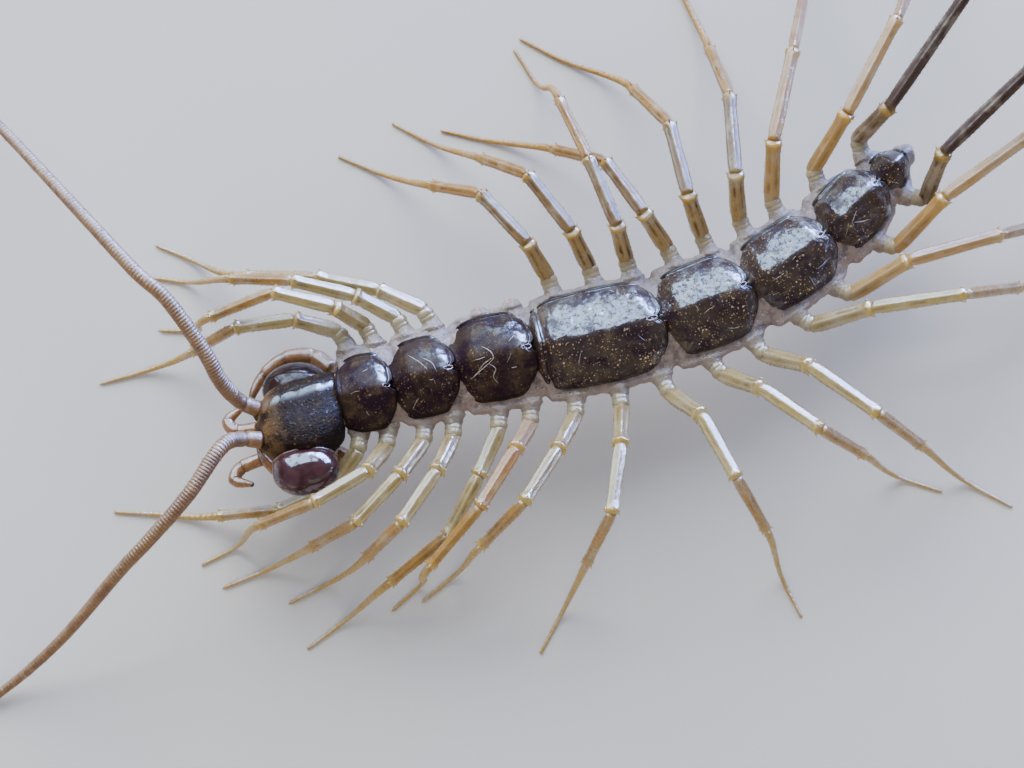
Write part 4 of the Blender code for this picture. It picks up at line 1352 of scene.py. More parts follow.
def foot(shape, ankle, tip, leave, arrive, settings, rng):
    """The long thin foot of many short rings, with bristles under it and a small claw."""
    def radius_at(share):
        return TARSUS_RADIUS + (FOOT_RADIUS - TARSUS_RADIUS) * share ** 0.8

    path = foot_path(ankle, tip, leave, arrive, radius_at)
    rings = []
    paints = []
    place = 0.0
    while place < path.length - 0.1:
        for part, swell in FOOT_RING:
            share = min((place + FOOT_RING_LENGTH * part) / path.length, 1.0)
            radius = radius_at(share) * swell
            centre, way = path.at(share * path.length)
            centre.z = max(centre.z, radius)
            rings.append(ring_at(centre, way, radius, radius, FOOT_SIDES))
            paints.append({"piece": 3.0 + share, "stripe": 0.5 if swell < 0.9 else 0.0})
        centre, way = path.at(min(place + FOOT_RING_LENGTH * 0.85, path.length))
        level, rise = axes_of(way)
        share = place / path.length
        for turn in (rng.uniform(-0.5, 0.5), rng.uniform(-0.5, 0.5) + math.pi, rng.uniform(1.0, 2.1)):
            out = level * math.cos(turn) + rise * math.sin(turn)
            lean = (out * 0.6 + way * 0.8).normalized()
            shape.cone(centre + out * radius_at(share) * 0.9, lean, settings.spine_length / MM * 0.9,
                       BRISTLE_RADIUS, {"piece": 3.0 + share, "stripe": 0.4})
        place += FOOT_RING_LENGTH
    end, way = path.at(path.length)
    tip = end + way * 0.08
    tip.z = 0.02
    rings.append([tip])
    paints.append({"piece": 4.0})
    shape.tube(rings, lambda i, j: paints[i])


def leg_shape(number, station, outward, pose, settings):
    """One leg: a smooth ring at the hip, three keeled pieces and a long ringed foot."""
    shape = Shape("piece", "knob", "stripe", "hip", "crest")
    rng = random.Random(number * 10 + outward)
    start, way, knee_one, knee_two, ankle, tip, tibia, along_floor = leg_joints(
        number, station, outward, pose)
    hip_end = start + way * TROCHANTER
    rings = []
    for i in range(HIP_ROWS + 1):
        t = i / HIP_ROWS
        size = 0.275 + 0.035 * math.sin(math.pi * t) - 0.06 * max(0.0, t - 0.8) / 0.2
        size -= 0.03 * bell(t - 0.42, 0.06)
        rings.append(ring_at(start + way * ((TROCHANTER + 0.24) * t - 0.20), way, size, size, HIP_SIDES))
    shape.tube(rings, lambda i, j: {"hip": 1 - 0.6 * i / HIP_ROWS})
    sunk = hip_end - (knee_one - hip_end).normalized() * 0.05
    leg_piece(shape, sunk, knee_one, PREFEMUR_RADIUS, 0, settings, rng)
    leg_piece(shape, knee_one, knee_two, FEMUR_RADIUS, 1, settings, rng)
    leg_piece(shape, knee_two, ankle, TIBIA_RADIUS, 2, settings, rng)
    foot(shape, ankle, tip, tibia, along_floor, settings, rng)
    return shape


# Shader helpers

class Tree:
    """Adds and joins the nodes of one material or node group."""

    def __init__(self, tree):
        self.tree = tree

    def node(self, kind, inputs=None, **settings):
        """A new node with its settings, and its sockets fed by name or number."""
        made = self.tree.nodes.new("ShaderNode" + kind)
        for key, value in settings.items():
            setattr(made, key, value)
        self.fill(made, inputs or {})
        return made

    def feed(self, socket, value):
        """Links a socket, or sets its own value."""
        if isinstance(value, bpy.types.NodeSocket):
            self.tree.links.new(value, socket)
        else:
            socket.default_value = value

    def fill(self, node, values):
        """Feeds a node's sockets, each by its name or number."""
        for key, value in values.items():
            self.feed(node.inputs[key], value)

    def math(self, operation, first, second=0.0, clamp=False):
        """The result of one sum."""
        made = self.node("Math", {0: first, 1: second}, operation=operation, use_clamp=clamp)
        return made.outputs[0]

    def times(self, first, *others):
        """The product of several values."""
        for other in others:
            first = self.math("MULTIPLY", first, other)
        return first

    def mix(self, share, first, second):
        """Colour between two colours."""
        made = self.node("Mix", data_type="RGBA")
        self.fill(made, {0: share, 6: colour(first), 7: colour(second)})
        return made.outputs[2]

    def span(self, value, low, high, to_low=0.0, to_high=1.0):
        """A value's range carried smoothly to another one."""
        made = self.node("MapRange", {0: value, 1: low, 2: high, 3: to_low, 4: to_high},
                         interpolation_type="SMOOTHSTEP")
        return made.outputs[0]

    def painted(self, name):
        """A value painted on the mesh."""
        return self.node("Attribute", attribute_name=name).outputs["Fac"]

    def place(self):
        """The place on the object."""
        return self.node("TexCoord").outputs["Object"]

    def noise(self, size, detail=3.0, roughness=0.5):
        """Noise with waves of a given size in metres."""
        made = self.node("TexNoise", {"Vector": self.place(), "Scale": 1 / size, "Detail": detail,
                                      "Roughness": roughness})
        return made.outputs["Fac"]

    def group(self, name, inputs):
        """A placed node group with its inputs fed by name."""
        made = self.tree.nodes.new("ShaderNodeGroup")
        made.node_tree = shared_group(name)
        self.fill(made, inputs)
        return made.outputs

    def mottle(self, first, second, third, size):
        """Three colours in soft patches."""
        return self.group("mottle", {"First": colour(first), "Second": colour(second),
                                     "Third": colour(third), "Size": size})

    def specks(self, spacing, size, share):
        """Scattered specks: their mask and their shade."""
        return self.group("specks", {"Spacing": spacing, "Size": size, "Share": share})

    def grain(self, size, pits):
        """The height of a fine grain."""
        return self.group("grain", {"Size": size, "Pits": pits})["Height"]

    def grainy(self, grain, low, high):
        """Roughness that follows a grain's height."""
        return self.span(grain, 0.4, 1.2, low, high)

    def bump(self, height, distance, normal=None):
        """A normal from a height; the distance is in metres."""
        made = self.node("Bump", {"Height": height, "Distance": distance, "Strength": 1.0})
        if normal is not None:
            self.feed(made.inputs["Normal"], normal)
        return made.outputs["Normal"]


def colour(value):
    """A colour with its alpha, or a socket as it is."""
    if isinstance(value, bpy.types.NodeSocket):
        return value
    return (*value, 1.0)


def new_group(name, inputs, outputs):
    """A shader node group with named sockets; returns it with its tree, entry and exit."""
    group = bpy.data.node_groups.new(name, "ShaderNodeTree")
    for socket, kind, default in inputs:
        made = group.interface.new_socket(socket, in_out="INPUT", socket_type=kind)
        made.default_value = default
    for socket, kind in outputs:
        group.interface.new_socket(socket, in_out="OUTPUT", socket_type=kind)
    tree = Tree(group)
    entry = group.nodes.new("NodeGroupInput")
    leave = group.nodes.new("NodeGroupOutput")
    return group, tree, entry.outputs, leave.inputs


def speck_group():
    """Small scattered specks of uneven size."""
    group, tree, entry, leave = new_group(
        "scattered_specks",
        (("Spacing", "NodeSocketFloat", 0.0001), ("Size", "NodeSocketFloat", 0.3),
         ("Share", "NodeSocketFloat", 0.4)),
        (("Mask", "NodeSocketFloat"), ("Shade", "NodeSocketFloat")))
    scale = tree.math("DIVIDE", 1.0, entry["Spacing"])
    cells = tree.node("TexVoronoi", {"Vector": tree.place(), "Scale": scale})
    parts = tree.node("SeparateColor", {0: cells.outputs["Color"]})
    size = tree.math("MULTIPLY", entry["Size"], tree.math("ADD", parts.outputs[0], 0.25))
    spot = tree.span(cells.outputs["Distance"], tree.times(size, 0.55), size, 1.0, 0.0)
    kept = tree.math("LESS_THAN", parts.outputs[1], entry["Share"])
    tree.feed(leave["Mask"], tree.math("MULTIPLY", spot, kept))
    tree.feed(leave["Shade"], parts.outputs[2])
    return group


def grain_group():
    """Height of a shell's fine grain: small pits between low waves."""
    group, tree, entry, leave = new_group(
        "shell_grain",
        (("Size", "NodeSocketFloat", 0.00008), ("Pits", "NodeSocketFloat", 0.5)),
        (("Height", "NodeSocketFloat"), ("Pit mask", "NodeSocketFloat")))
    place = tree.place()
    scale = tree.math("DIVIDE", 1.0, entry["Size"])
    waves = tree.node("TexNoise", {"Vector": place, "Scale": scale, "Detail": 4.0, "Roughness": 0.6})
    cells = tree.node("TexVoronoi", {"Vector": place, "Scale": scale}, feature="SMOOTH_F1")
    pit = tree.span(cells.outputs["Distance"], 0.10, 0.55)
    low = tree.math("MULTIPLY", pit, entry["Pits"])
    tree.feed(leave["Height"], tree.math("ADD", waves.outputs["Fac"], low))
    tree.feed(leave["Pit mask"], pit)
    return group


def mottle_group():
    """Three colours in soft patches."""
    group, tree, entry, leave = new_group(
        "soft_mottle",
        (("First", "NodeSocketColor", (0.03, 0.02, 0.015, 1.0)),
         ("Second", "NodeSocketColor", (0.02, 0.01, 0.015, 1.0)),
         ("Third", "NodeSocketColor", (0.08, 0.06, 0.03, 1.0)),
         ("Size", "NodeSocketFloat", 0.0006)),
        (("Color", "NodeSocketColor"), ("Value", "NodeSocketFloat")))
    place = tree.place()
    scale = tree.math("DIVIDE", 1.0, entry["Size"])
    wide = tree.node("TexNoise", {"Vector": place, "Scale": scale, "Detail": 4.0, "Roughness": 0.62})
    shifted = tree.node("VectorMath", {0: place, 1: (0.013, 0.021, 0.007)}, operation="ADD")
    other = tree.node("TexNoise", {"Vector": shifted.outputs[0], "Scale": scale, "Detail": 5.0,
                                   "Roughness": 0.7})
    first = tree.mix(tree.span(wide.outputs["Fac"], 0.40, 0.62), entry["First"], entry["Second"])
    full = tree.mix(tree.span(other.outputs["Fac"], 0.52, 0.70), first, entry["Third"])
    tree.feed(leave["Color"], full)
    tree.feed(leave["Value"], other.outputs["Fac"])
    return group


GROUP_MAKERS = {"specks": speck_group, "grain": grain_group, "mottle": mottle_group}
GROUPS = {}


def shared_group(name):
    """A node group, built the first time that a material asks for it."""
    if name not in GROUPS:
        GROUPS[name] = GROUP_MAKERS[name]()
    return GROUPS[name]


def new_material(name):
    """A material with its tree helper and its main shader."""
    material = bpy.data.materials.new(name)
    material.use_nodes = True
    return material, Tree(material.node_tree), material.node_tree.nodes["Principled BSDF"]


# Materials

def plate_material(name, settings, specular, speck_share, worn_from):
    """Glossy dark brown shell with golden specks, golden dust and a dark margin."""
    material, tree, shader = new_material(name)
    base = tree.mottle(settings.dark, settings.purple, settings.olive, 0.0007)
    specks = tree.specks(0.00012, 0.36, 0.27)
    dust = tree.specks(0.00007, 0.42, 0.50)
    left_side = tree.span(tree.painted("across"), -0.9, 0.6, 1.0, 0.45)
    clumps = tree.span(tree.noise(0.0011, 2.0), 0.30, 0.60, 0.15 * speck_share, speck_share)
    tone = tree.mix(tree.times(dust["Mask"], clumps, 0.65), base["Color"], settings.speck)
    bright = tree.mix(specks["Shade"], settings.speck, (0.75, 0.62, 0.42))
    tone = tree.mix(tree.times(specks["Mask"], left_side, clumps), tone, bright)
    rim = tree.painted("rim")
    rough = tree.span(base["Value"], 0.3, 0.7, settings.roughness, settings.roughness + 0.16)
    dull = tree.span(tree.painted("shine"), 0.1, 1.0, 0.12, 0.0)
    flecks = tree.span(tree.noise(0.00016, 5.0, 0.75), 0.42, 0.50)
    worn = tree.span(tree.noise(0.0005, 4.0, 0.65), worn_from, worn_from + 0.13, 0.10, 1.0)
    shine = tree.math("MULTIPLY", tree.times(flecks, worn), tree.painted("shine"), clamp=True)
    patchy = tree.span(tree.noise(0.0003, 4.0), 0.40, 0.55, 0.1, 1.0)
    polish = tree.math("MAXIMUM", shine, tree.times(tree.painted("lobe"), patchy))
    raised = tree.math("ADD", tree.grain(0.00007, 0.6), tree.times(specks["Mask"], 1.2))
    fine = tree.bump(raised, 0.000004)
    tree.fill(shader, {
        "Base Color": tree.mix(tree.times(rim, 0.7), tone, (0.012, 0.006, 0.006)),
        "Roughness": tree.math("ADD", rough, dull),
        "Coat Weight": tree.times(polish, tree.span(rim, 0.2, 0.9, 1.0, 0.25)),
        "Coat Roughness": 0.13,
        "Specular IOR Level": specular,
        "Normal": tree.bump(tree.noise(0.00022, 4.0, 0.6), 0.000026, fine)})
    return material


def skin_material(settings):
    """Moist grey-mauve skin, painted paler on its raised folds as painted highlight and greyer in the
    hollows as painted shade.
    """
    material, tree, shader = new_material("grey_mauve_skin")
    base = tree.mottle(settings.grey, settings.pale, (0.30, 0.21, 0.17), 0.00035)
    # Painted highlight and shade: the fold paint is high on raised folds and the flank ridge, low in the
    # hollows.
    tone = tree.mix(tree.span(tree.painted("fold"), 0.35, 0.8), base["Color"], settings.pale)
    specks = tree.specks(0.00009, 0.4, 0.25)
    tone = tree.mix(tree.times(specks["Mask"], 0.6), tone, (0.55, 0.40, 0.27))
    grain = tree.grain(0.00009, 0.8)
    fine = tree.bump(grain, 0.000014)
    tree.fill(shader, {
        "Base Color": tree.mix(tree.times(tree.painted("hips"), 0.6), tone, (0.38, 0.32, 0.23)),
        "Roughness": tree.grainy(grain, 0.32, 0.6),
        "Subsurface Weight": 0.15,
        "Subsurface Scale": 0.0002,
        "Specular IOR Level": 0.3,
        "Normal": tree.bump(tree.noise(0.0002, 5.0, 0.65), 0.00005, fine)})
    return material


def belly_material(settings):
    """Tan plates under the body with a darker margin."""
    material, tree, shader = new_material("tan_belly_shell")
    base = tree.mottle(settings.belly, (0.26, 0.17, 0.09), (0.42, 0.32, 0.19), 0.0004)
    grain = tree.grain(0.00008, 0.5)
    tree.fill(shader, {
        "Base Color": tree.mix(tree.painted("rim"), base["Color"], (0.14, 0.08, 0.045)),
        "Roughness": tree.grainy(grain, 0.28, 0.45),
        "Normal": tree.bump(grain, 0.000006)})
    return material


def soft_bead_material(name, main, second, third):
    """Glossy soft beads: the breathing slits, scars and eye rims."""
    material, tree, shader = new_material(name)
    grain = tree.grain(0.00005, 0.5)
    tree.fill(shader, {
        "Base Color": tree.mottle(main, second, third, 0.00018)["Color"],
        "Roughness": tree.grainy(grain, 0.12, 0.3),
        "Subsurface Weight": 0.2,
        "Subsurface Scale": 0.0002,
        "Normal": tree.bump(grain, 0.000008)})
    return material


def hairline_material():
    """Pale, dull, thread-like lines."""
    material, tree, shader = new_material("pale_hairline")
    share = tree.span(tree.noise(0.00015, 2.0), 0.35, 0.65)
    tree.fill(shader, {
        "Base Color": tree.mix(share, (0.45, 0.40, 0.32), (0.22, 0.19, 0.15)),
        "Roughness": tree.span(tree.noise(0.00005), 0.3, 0.7, 0.35, 0.6)})
    return material


def head_material(settings):
    """Rough, nearly black head shell, brown at the brow, with a patchy gloss."""
    material, tree, shader = new_material("rough_head_shell")
    base = tree.mottle(settings.shell, (0.020, 0.010, 0.010), (0.060, 0.038, 0.020), 0.00045)
    brow = tree.times(tree.painted("brow"), tree.span(tree.noise(0.0005, 3.0), 0.30, 0.60))
    tone = tree.mix(tree.times(brow, 0.9), base["Color"], settings.brow)
    specks = tree.specks(0.00008, 0.40, 0.20)
    fine = tree.bump(tree.grain(0.00009, 0.9), 0.000016)
    patches = tree.span(tree.noise(0.00022, 3.0), 0.34, 0.52, 0.25, 1.0)
    shine = tree.times(patches, tree.span(tree.painted("shine"), 0.05, 1.0, 0.0, 1.0))
    flecks = tree.span(tree.noise(0.00010, 2.0), 0.62, 0.70, 0.0, 0.14)
    tree.fill(shader, {
        "Base Color": tree.mix(tree.times(specks["Mask"], 0.5), tone, (0.28, 0.19, 0.09)),
        "Roughness": tree.span(base["Value"], 0.35, 0.7, 0.5, 0.7),
        "Coat Weight": tree.math("MAXIMUM", shine, flecks),
        "Coat Roughness": 0.12,
        "Specular IOR Level": 0.03,
        "Normal": tree.bump(tree.noise(0.00030, 4.0, 0.65), 0.00004, fine)})
    return material


def eye_material(name, main, polish):
    """Polished eye with very fine facets."""
    material, tree, shader = new_material(name)
    facets = tree.node("TexVoronoi", {"Vector": tree.place(), "Scale": 1 / 0.00006, "Smoothness": 0.4},
                       feature="SMOOTH_F1")
    lighter = tuple(part * 2.2 for part in main)
    edge_tint = tuple(part * 3.2 for part in main)
    tone = tree.mix(tree.span(tree.noise(0.0006, 3.0), 0.35, 0.7), main, lighter)
    tree.fill(shader, {
        "Base Color": tree.mix(tree.times(tree.painted("edge"), 0.6), tone, edge_tint),
        "Roughness": tree.span(tree.noise(0.0004, 3.0), 0.3, 0.7, 0.10, 0.22),
        "Coat Weight": tree.span(tree.noise(0.00026, 3.0, 0.6), 0.44, 0.52, 0.05, polish),
        "Coat Roughness": 0.06,
        "Specular IOR Level": 0.2 * polish,
        "Normal": tree.bump(facets.outputs["Distance"], 0.0000022)})
    return material


def feeler_material(settings):
    """Dull amber tan with darker joints between the rings."""
    material, tree, shader = new_material("amber_feeler")
    base = tree.mottle(settings.feeler, (0.19, 0.090, 0.034), (0.34, 0.21, 0.10), 0.0006)
    grain = tree.grain(0.00006, 0.5)
    dark = tree.times(tree.painted("ring"), 0.6)
    tree.fill(shader, {
        "Base Color": tree.mix(dark, base["Color"], (0.11, 0.050, 0.022)),
        "Roughness": tree.grainy(grain, 0.32, 0.55),
        "Subsurface Weight": 0.15,
        "Subsurface Scale": 0.0003,
        "Normal": tree.bump(grain, 0.000008)})
    return material


def claw_material(settings):
    """Glossy amber with dark tips and joints."""
    material, tree, shader = new_material("amber_claw")
    base = tree.mottle(settings.claw, (0.28, 0.12, 0.045), (0.52, 0.33, 0.15), 0.0005)
    grain = tree.grain(0.00007, 0.4)
    dark = tree.math("MAXIMUM", tree.painted("tip"), tree.times(tree.painted("joint"), 0.6))
    tree.fill(shader, {
        "Base Color": tree.mix(dark, base["Color"], (0.035, 0.014, 0.010)),
        "Roughness": tree.grainy(grain, 0.16, 0.32),
        "Coat Weight": 0.3,
        "Normal": tree.bump(grain, 0.000006)})
    return material


def leg_ramp(tree, look):
    """The colour of each leg piece, read from the painted number of the piece."""
    ramp = tree.node("ValToRGB", {0: tree.math("DIVIDE", tree.painted("piece"), 4.0)})
    stops = ((0.0, look.prefemur), (0.245, look.prefemur), (0.255, look.femur), (0.49, look.femur),
             (0.51, look.tibia), (0.74, look.tibia), (0.78, look.foot), (1.0, look.foot))
    elements = ramp.color_ramp.elements
    for element, (place, tint) in zip(elements, (stops[0], stops[-1])):
        element.position = place
        element.color = colour(tint)
    for place, tint in stops[1:-1]:
        elements.new(place).color = colour(tint)
    return ramp.outputs["Color"]


def leg_material(name, look):
    """Horn-like leg finish that changes from piece to piece, with stripes, knobs and grains."""
    material, tree, shader = new_material(f"{name}_leg_horn")
    milky = tree.span(tree.noise(0.0007, 3.0), 0.45, 0.68)
    tone = tree.mix(tree.times(milky, 0.35), leg_ramp(tree, look), (0.50, 0.46, 0.36))
    streaks = tree.times(tree.painted("stripe"), tree.span(tree.noise(0.0005, 3.0), 0.35, 0.6))
    tone = tree.mix(tree.times(streaks, look.stripe_share), tone, look.stripe)
    specks = tree.specks(0.00009, 0.42, 0.5)
    tone = tree.mix(tree.times(specks["Mask"], look.grain * 0.6), tone, (0.20, 0.10, 0.04))
    gold = (0.62, 0.38, 0.04)
    knob_tint = tuple(0.35 * part + 0.65 * yellow for part, yellow in zip(look.femur, gold))
    patches = tree.span(tree.noise(0.00025, 3.0), 0.35, 0.60, 0.15, 0.9)
    tone = tree.mix(tree.times(tree.painted("knob"), patches), tone, knob_tint)
    grain = tree.grain(0.00008, 0.6)
    height = tree.math("ADD", grain, tree.times(specks["Mask"], look.grain))
    glint = tree.math("ADD", tree.painted("crest"), tree.painted("knob"))
    patchy = tree.times(glint, tree.span(tree.noise(0.0003, 3.0), 0.40, 0.56, 0.15, 1.0))
    tree.fill(shader, {
        "Base Color": tree.mix(tree.painted("hip"), tone, (0.38, 0.33, 0.23)),
        "Roughness": tree.grainy(grain, 0.42 - look.polish, 0.58 - look.polish),
        "Coat Weight": tree.math("ADD", patchy, look.polish, clamp=True),
        "Coat Roughness": 0.10,
        "Specular IOR Level": 0.03 + look.polish,
        "Subsurface Weight": 0.2,
        "Subsurface Radius": (1.0, 0.75, 0.4),
        "Subsurface Scale": 0.0003,
        "Normal": tree.bump(height, 0.000007)})
    return material


def floor_material(settings):
    """Plain pale floor."""
    material, tree, shader = new_material("pale_floor")
    paler = tuple(part * 1.06 for part in settings.floor)
    share = tree.span(tree.noise(0.02, 3.0), 0.3, 0.7)
    tree.fill(shader, {"Base Color": tree.mix(share, settings.floor, paler), "Roughness": 0.75})
    return material


# Pieces

def make_piece(name, shape, material, nodes=()):
    """Turns a shape into an object of the model that rides on the body."""
    data = bpy.data.meshes.new(name)
    data.from_pydata([place * MM for place in shape.points], [], shape.faces)
    for paint, values in shape.paints.items():
        paint_mesh(data, paint, values)
    dress(name, data, material, nodes)


def paint_mesh(data, name, values):
    """Paints one value for each point of a mesh."""
    data.attributes.new(name, "FLOAT", "POINT").data.foreach_set("value", values)


def face_outward(data):
    """Turns the faces of a mesh outwards."""
    mesh = bmesh.new()
    mesh.from_mesh(data)
    bmesh.ops.recalc_face_normals(mesh, faces=mesh.faces)
    mesh.to_mesh(data)
    mesh.free()


def dress(name, data, material, nodes):
    """Gives a mesh its material and place in the model."""
    face_outward(data)
    data.shade_smooth()
    data.materials.append(material)
    piece = bpy.data.objects.new(name, data)
    bpy.context.scene.collection.objects.link(piece)
    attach(piece, BODY)
    if nodes:
        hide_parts(*nodes)


def melt_together(shape, voxel):
    """One closed skin over overlapping tubes, as a mesh in millimetres."""
    data = bpy.data.meshes.new("lumps")
    data.from_pydata(shape.points, [], shape.faces)
    face_outward(data)
    lumps = bpy.data.objects.new("lumps", data)
    bpy.context.scene.collection.objects.link(lumps)
    remesh = lumps.modifiers.new("melt", "REMESH")
    remesh.mode = "VOXEL"
    remesh.voxel_size = voxel
    soften = lumps.modifiers.new("soften", "SMOOTH")
    soften.factor = 0.5
    soften.iterations = 5
    finished = lumps.evaluated_get(bpy.context.evaluated_depsgraph_get())
    melted = bpy.data.meshes.new_from_object(finished)
    bpy.data.objects.remove(lumps, do_unlink=True)
    return melted


def flank_fold(place):
    """How near a point of the skin is to the raised fold that runs along each flank, from 0 to 1; it is
    painted paler there as a painted highlight.
    """
    if place.z < HIP_HEIGHT - 0.1:
        return 0.0
    station = place.x - NECK_PLACE[0]
    for _ in range(2):
        turn = heading_at(station)
        middle = on_body(min(max(station, -1.0), TRUNK_LENGTH + 1.0), 0, place.z)
        station += (place.x - middle.x) * math.cos(turn) + (place.y - middle.y) * math.sin(turn)
    station = min(max(station, -1.0), TRUNK_LENGTH + 1.0)
    turn = heading_at(station)
    middle = on_body(station, 0, place.z)
    side = (place.y - middle.y) * math.cos(turn) - (place.x - middle.x) * math.sin(turn)
    return bell(abs(side) - width_at(station) / 2 - 0.06, 0.09)


def fold_skin(data, depth):
    """Pushes folds into the melted skin, paints their height (paler where raised, greyer in hollows, as
    painted highlight and shade) and the hips, and turns it into metres.
    """
    hips = [on_body(station, outward * (width_at(station) / 2 + 0.30), HIP_HEIGHT)
            for _, station in LEG_STATIONS for outward in (-1, 1)]
    fold_light_and_shade = []
    painted_hip = []
    moved = []
    for vertex in data.vertices:
        place = vertex.co
        near_hip = min((place - hip_place).length for hip_place in hips)
        wave = bump_noise(place, 0.26, 2.0) + 0.6 * bump_noise(place, 0.12, 6.0)
        station = place.x - NECK_PLACE[0]
        ridge = math.sin(2 * math.pi * (station / 0.46 + 0.9 * bump_noise(place, 1.1, 8.0)))
        swell = 0.05 * bell(near_hip, 0.5)
        line = flank_fold(place)
        push = depth * (0.6 * wave + 0.35 * ridge + 2.0 * line) + swell
        moved.append((place + vertex.normal * push) * MM)
        # Painted highlight and shade: the fold paint follows the push, so raised folds and the flank ridge
        # are paler and hollows greyer.
        fold_light_and_shade.append(0.5 + 0.4 * wave + 0.12 * ridge + 0.5 * line)
        painted_hip.append(bell(near_hip, 0.42))
    for vertex, place in zip(data.vertices, moved):
        vertex.co = place
    paint_mesh(data, "fold", fold_light_and_shade)
    paint_mesh(data, "hips", painted_hip)


class CENTIPEDE_OT_skin(bpy.types.Operator):
    """Build the soft body under the plates, with its belly shields and leg scars"""
    bl_idname = "centipede.skin"
    bl_label = "Soft body"

    def execute(self, context):
        settings = context.scene.centipede_skin
        data = melt_together(skin_shape(), SKIN_VOXEL)
        fold_skin(data, settings.fold_depth / MM)
        data.materials.clear()
        trunk = [f"trunk_{index + 1}" for index in range(len(PLATES))]
        dress("soft_body", data, skin_material(settings), trunk)
        make_piece("belly_shields", belly_shape(), belly_material(settings))
        scars = soft_bead_material("pink_bead", settings.scar, (0.50, 0.20, 0.12), (0.60, 0.48, 0.38))
        make_piece("leg_scars", scar_shape(), scars)
        lips = soft_bead_material("brown_bead", settings.stoma, (0.07, 0.035, 0.03), (0.30, 0.17, 0.11))
        make_piece("breathing_lips", breathing_slit_shape(), lips)
        return {"FINISHED"}


class CENTIPEDE_OT_plates(bpy.types.Operator):
    """Build the eight back plates and the hairlines that lie on them"""
    bl_idname = "centipede.plates"
    bl_label = "Back plates"

    def execute(self, context):
        settings = context.scene.centipede_shell
        front = plate_material("dark_front_shell", settings, 0.03, 0.32, 0.46)
        rear = plate_material("dark_glossy_shell", settings, 0.12, 1.0, 0.36)
        for index in range(len(PLATES)):
            material = front if index < FRONT_PLATES else rear
            make_piece(f"back_plate_{index + 1}", plate_shape(index, settings), material)
        make_piece("hairlines", hairline_shape(settings), hairline_material())
        return {"FINISHED"}


class CENTIPEDE_OT_head(bpy.types.Operator):
    """Build the head with its eyes and eye rims"""
    bl_idname = "centipede.head"
    bl_label = "Head and eyes"

    def execute(self, context):
        settings = context.scene.centipede_head
        make_piece("head_shell", head_shape(settings), head_material(settings), ("head",))
        # The right eye gets the darker eye colour, which is painted shade, and a weaker polish.
        polished = {"left": eye_material("purple_eye", settings.eye, 1.0),
                    "right": eye_material("dark_eye", settings.dark_eye, 0.3)}
        rim = soft_bead_material("eye_rim_bead", settings.eye_rim, (0.10, 0.05, 0.04), (0.34, 0.22, 0.16))
        for side, outward, _ in SIDES:
            make_piece(f"eye_ball_{side}", eye_shape(outward), polished[side], (f"eye_{side}",))
            make_piece(f"eye_rim_{side}", eye_rim_shape(outward), rim)
        return {"FINISHED"}


class CENTIPEDE_OT_feelers(bpy.types.Operator):
    """Build the two long feelers"""
    bl_idname = "centipede.feelers"
    bl_label = "Feelers"

    def execute(self, context):
        material = feeler_material(context.scene.centipede_head)
        for side, outward, _ in SIDES:
            nodes = [f"antenna_{side}_{part}" for part in (1, 2, 3)]
            make_piece(f"feeler_{side}", antenna_shape(outward), material, nodes)
        return {"FINISHED"}


class CENTIPEDE_OT_mouthparts(bpy.types.Operator):
    """Build the poison claws and the palps"""
    bl_idname = "centipede.mouthparts"
    bl_label = "Claws and palps"

    def execute(self, context):
        material = claw_material(context.scene.centipede_head)
        for side, outward, _ in SIDES:
            claw = hook_shape(claw_points(outward), CLAW_RADII, CLAW_JOINTS, CLAW_TIP_SHADE)
            make_piece(f"poison_claw_{side}", claw, material, (f"claw_{side}",))
            palp = hook_shape(palp_points(outward), PALP_RADII, PALP_JOINTS, PALP_TIP_SHADE)
            make_piece(f"mouth_palp_{side}", palp, material, (f"palp_{side}",))
        return {"FINISHED"}


class CENTIPEDE_OT_legs(bpy.types.Operator):
    """Build every leg, from its hip ring to its foot"""
    bl_idname = "centipede.legs"
    bl_label = "Legs"

    def execute(self, context):
        settings = context.scene.centipede_legs
        materials = {name: leg_material(name, look) for name, look in LEG_LOOKS.items()}
        for number, station in LEG_STATIONS:
            for side, outward, poses in SIDES:
                if (side, number) in LOST_LEGS:
                    continue
                shape = leg_shape(number, station, outward, poses[number], settings)
                material = materials[leg_look_of(side, number)]
                make_piece(f"whole_leg_{side}_{number}", shape, material,
                           (f"leg_{side}_{number}",))
        return {"FINISHED"}


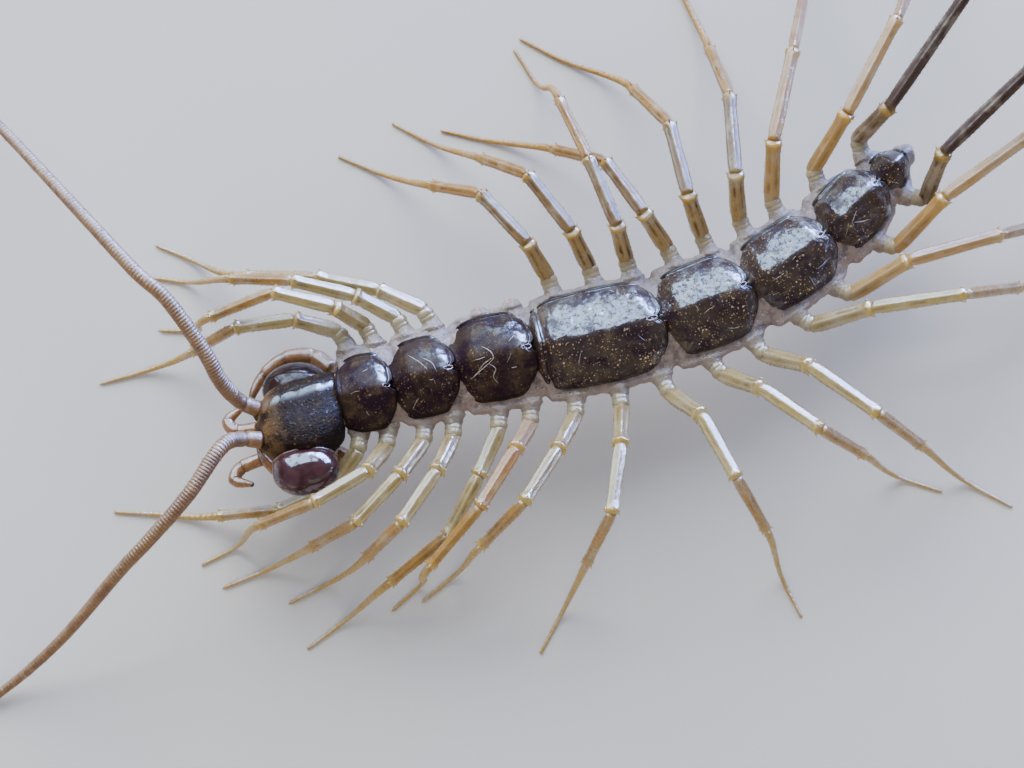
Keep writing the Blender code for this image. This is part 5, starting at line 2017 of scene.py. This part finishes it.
class CENTIPEDE_OT_stage(bpy.types.Operator):
    """Set up the floor, the soft lights and the camera"""
    bl_idname = "centipede.stage"
    bl_label = "Stage"

    def execute(self, context):
        settings = context.scene.centipede_stage
        self.floor(settings)
        self.lights(settings)
        self.camera(context, settings)
        return {"FINISHED"}

    def floor(self, settings):
        """A plain square floor under the feet."""
        data = bpy.data.meshes.new("floor")
        corners = [(x * FLOOR_HALF, y * FLOOR_HALF, 0) for x, y in ((-1, -1), (1, -1), (1, 1), (-1, 1))]
        data.from_pydata(corners, [], [(0, 1, 2, 3)])
        data.materials.append(floor_material(settings))
        floor = bpy.data.objects.new("floor", data)
        bpy.context.scene.collection.objects.link(floor)

    def lights(self, settings):
        """Two soft lights, two cards that only show as gloss, and a dim pale surround."""
        for sort in LIGHTS:
            data = bpy.data.lights.new(sort.name, "AREA")
            data.shape = "RECTANGLE"
            data.size, data.size_y = sort.size
            data.energy = getattr(settings, sort.power)
            data.color = sort.tint
            light = bpy.data.objects.new(sort.name, data)
            light.location = sort.place
            light.visible_glossy = sort.glossy
            light.visible_diffuse = sort.diffuse
            way = Vector(LIGHT_AIM) - Vector(sort.place)
            light.rotation_euler = way.to_track_quat("-Z", "Y").to_euler()
            bpy.context.scene.collection.objects.link(light)
        world = bpy.data.worlds.new("pale_surround")
        world.use_nodes = True
        background = world.node_tree.nodes["Background"]
        background.inputs["Color"].default_value = SURROUND_TINT
        background.inputs["Strength"].default_value = SURROUND_STRENGTH
        bpy.context.scene.world = world

    def camera(self, context, settings):
        """The camera at the photograph's angle."""
        turn, tilt = settings.azimuth, settings.elevation
        back = Vector((math.sin(turn) * math.cos(tilt), -math.cos(turn) * math.cos(tilt), math.sin(tilt)))
        data = bpy.data.cameras.new("view")
        data.sensor_width = 36.0
        data.lens = data.sensor_width * settings.distance / settings.view_width
        data.clip_start = 0.005
        data.clip_end = 10.0
        camera = bpy.data.objects.new("view", data)
        camera.location = Vector(VIEW_AIM) + back * settings.distance
        camera.rotation_euler = (-back).to_track_quat("-Z", "Y").to_euler()
        context.scene.collection.objects.link(camera)
        context.scene.camera = camera


OPERATORS = (CENTIPEDE_OT_skin, CENTIPEDE_OT_plates, CENTIPEDE_OT_head, CENTIPEDE_OT_feelers,
             CENTIPEDE_OT_mouthparts, CENTIPEDE_OT_legs, CENTIPEDE_OT_stage)


class CENTIPEDE_PT_builder(bpy.types.Panel):
    """Lists the steps that build the centipede."""
    bl_idname = "CENTIPEDE_PT_builder"
    bl_label = "House centipede"
    bl_space_type = "VIEW_3D"
    bl_region_type = "UI"
    bl_category = "Centipede"

    def draw(self, context):
        for operator in OPERATORS:
            self.layout.operator(operator.bl_idname)


SETTINGS = {"centipede_shell": ShellSettings, "centipede_skin": SkinSettings,
            "centipede_head": HeadSettings, "centipede_legs": LegSettings,
            "centipede_stage": StageSettings}


def register():
    """Registers the settings, operators and panel."""
    for name, settings in SETTINGS.items():
        bpy.utils.register_class(settings)
        setattr(bpy.types.Scene, name, bpy.props.PointerProperty(type=settings))
    for operator in OPERATORS:
        bpy.utils.register_class(operator)
    bpy.utils.register_class(CENTIPEDE_PT_builder)


def unregister():
    """Takes them out again."""
    bpy.utils.unregister_class(CENTIPEDE_PT_builder)
    for operator in reversed(OPERATORS):
        bpy.utils.unregister_class(operator)
    for name, settings in SETTINGS.items():
        delattr(bpy.types.Scene, name)
        bpy.utils.unregister_class(settings)


def main():
    """Builds every piece and the stage."""
    register()
    bpy.ops.centipede.skin()
    bpy.ops.centipede.plates()
    bpy.ops.centipede.head()
    bpy.ops.centipede.feelers()
    bpy.ops.centipede.mouthparts()
    bpy.ops.centipede.legs()
    bpy.ops.centipede.stage()
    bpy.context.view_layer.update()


if __name__ == "__main__":
    main()
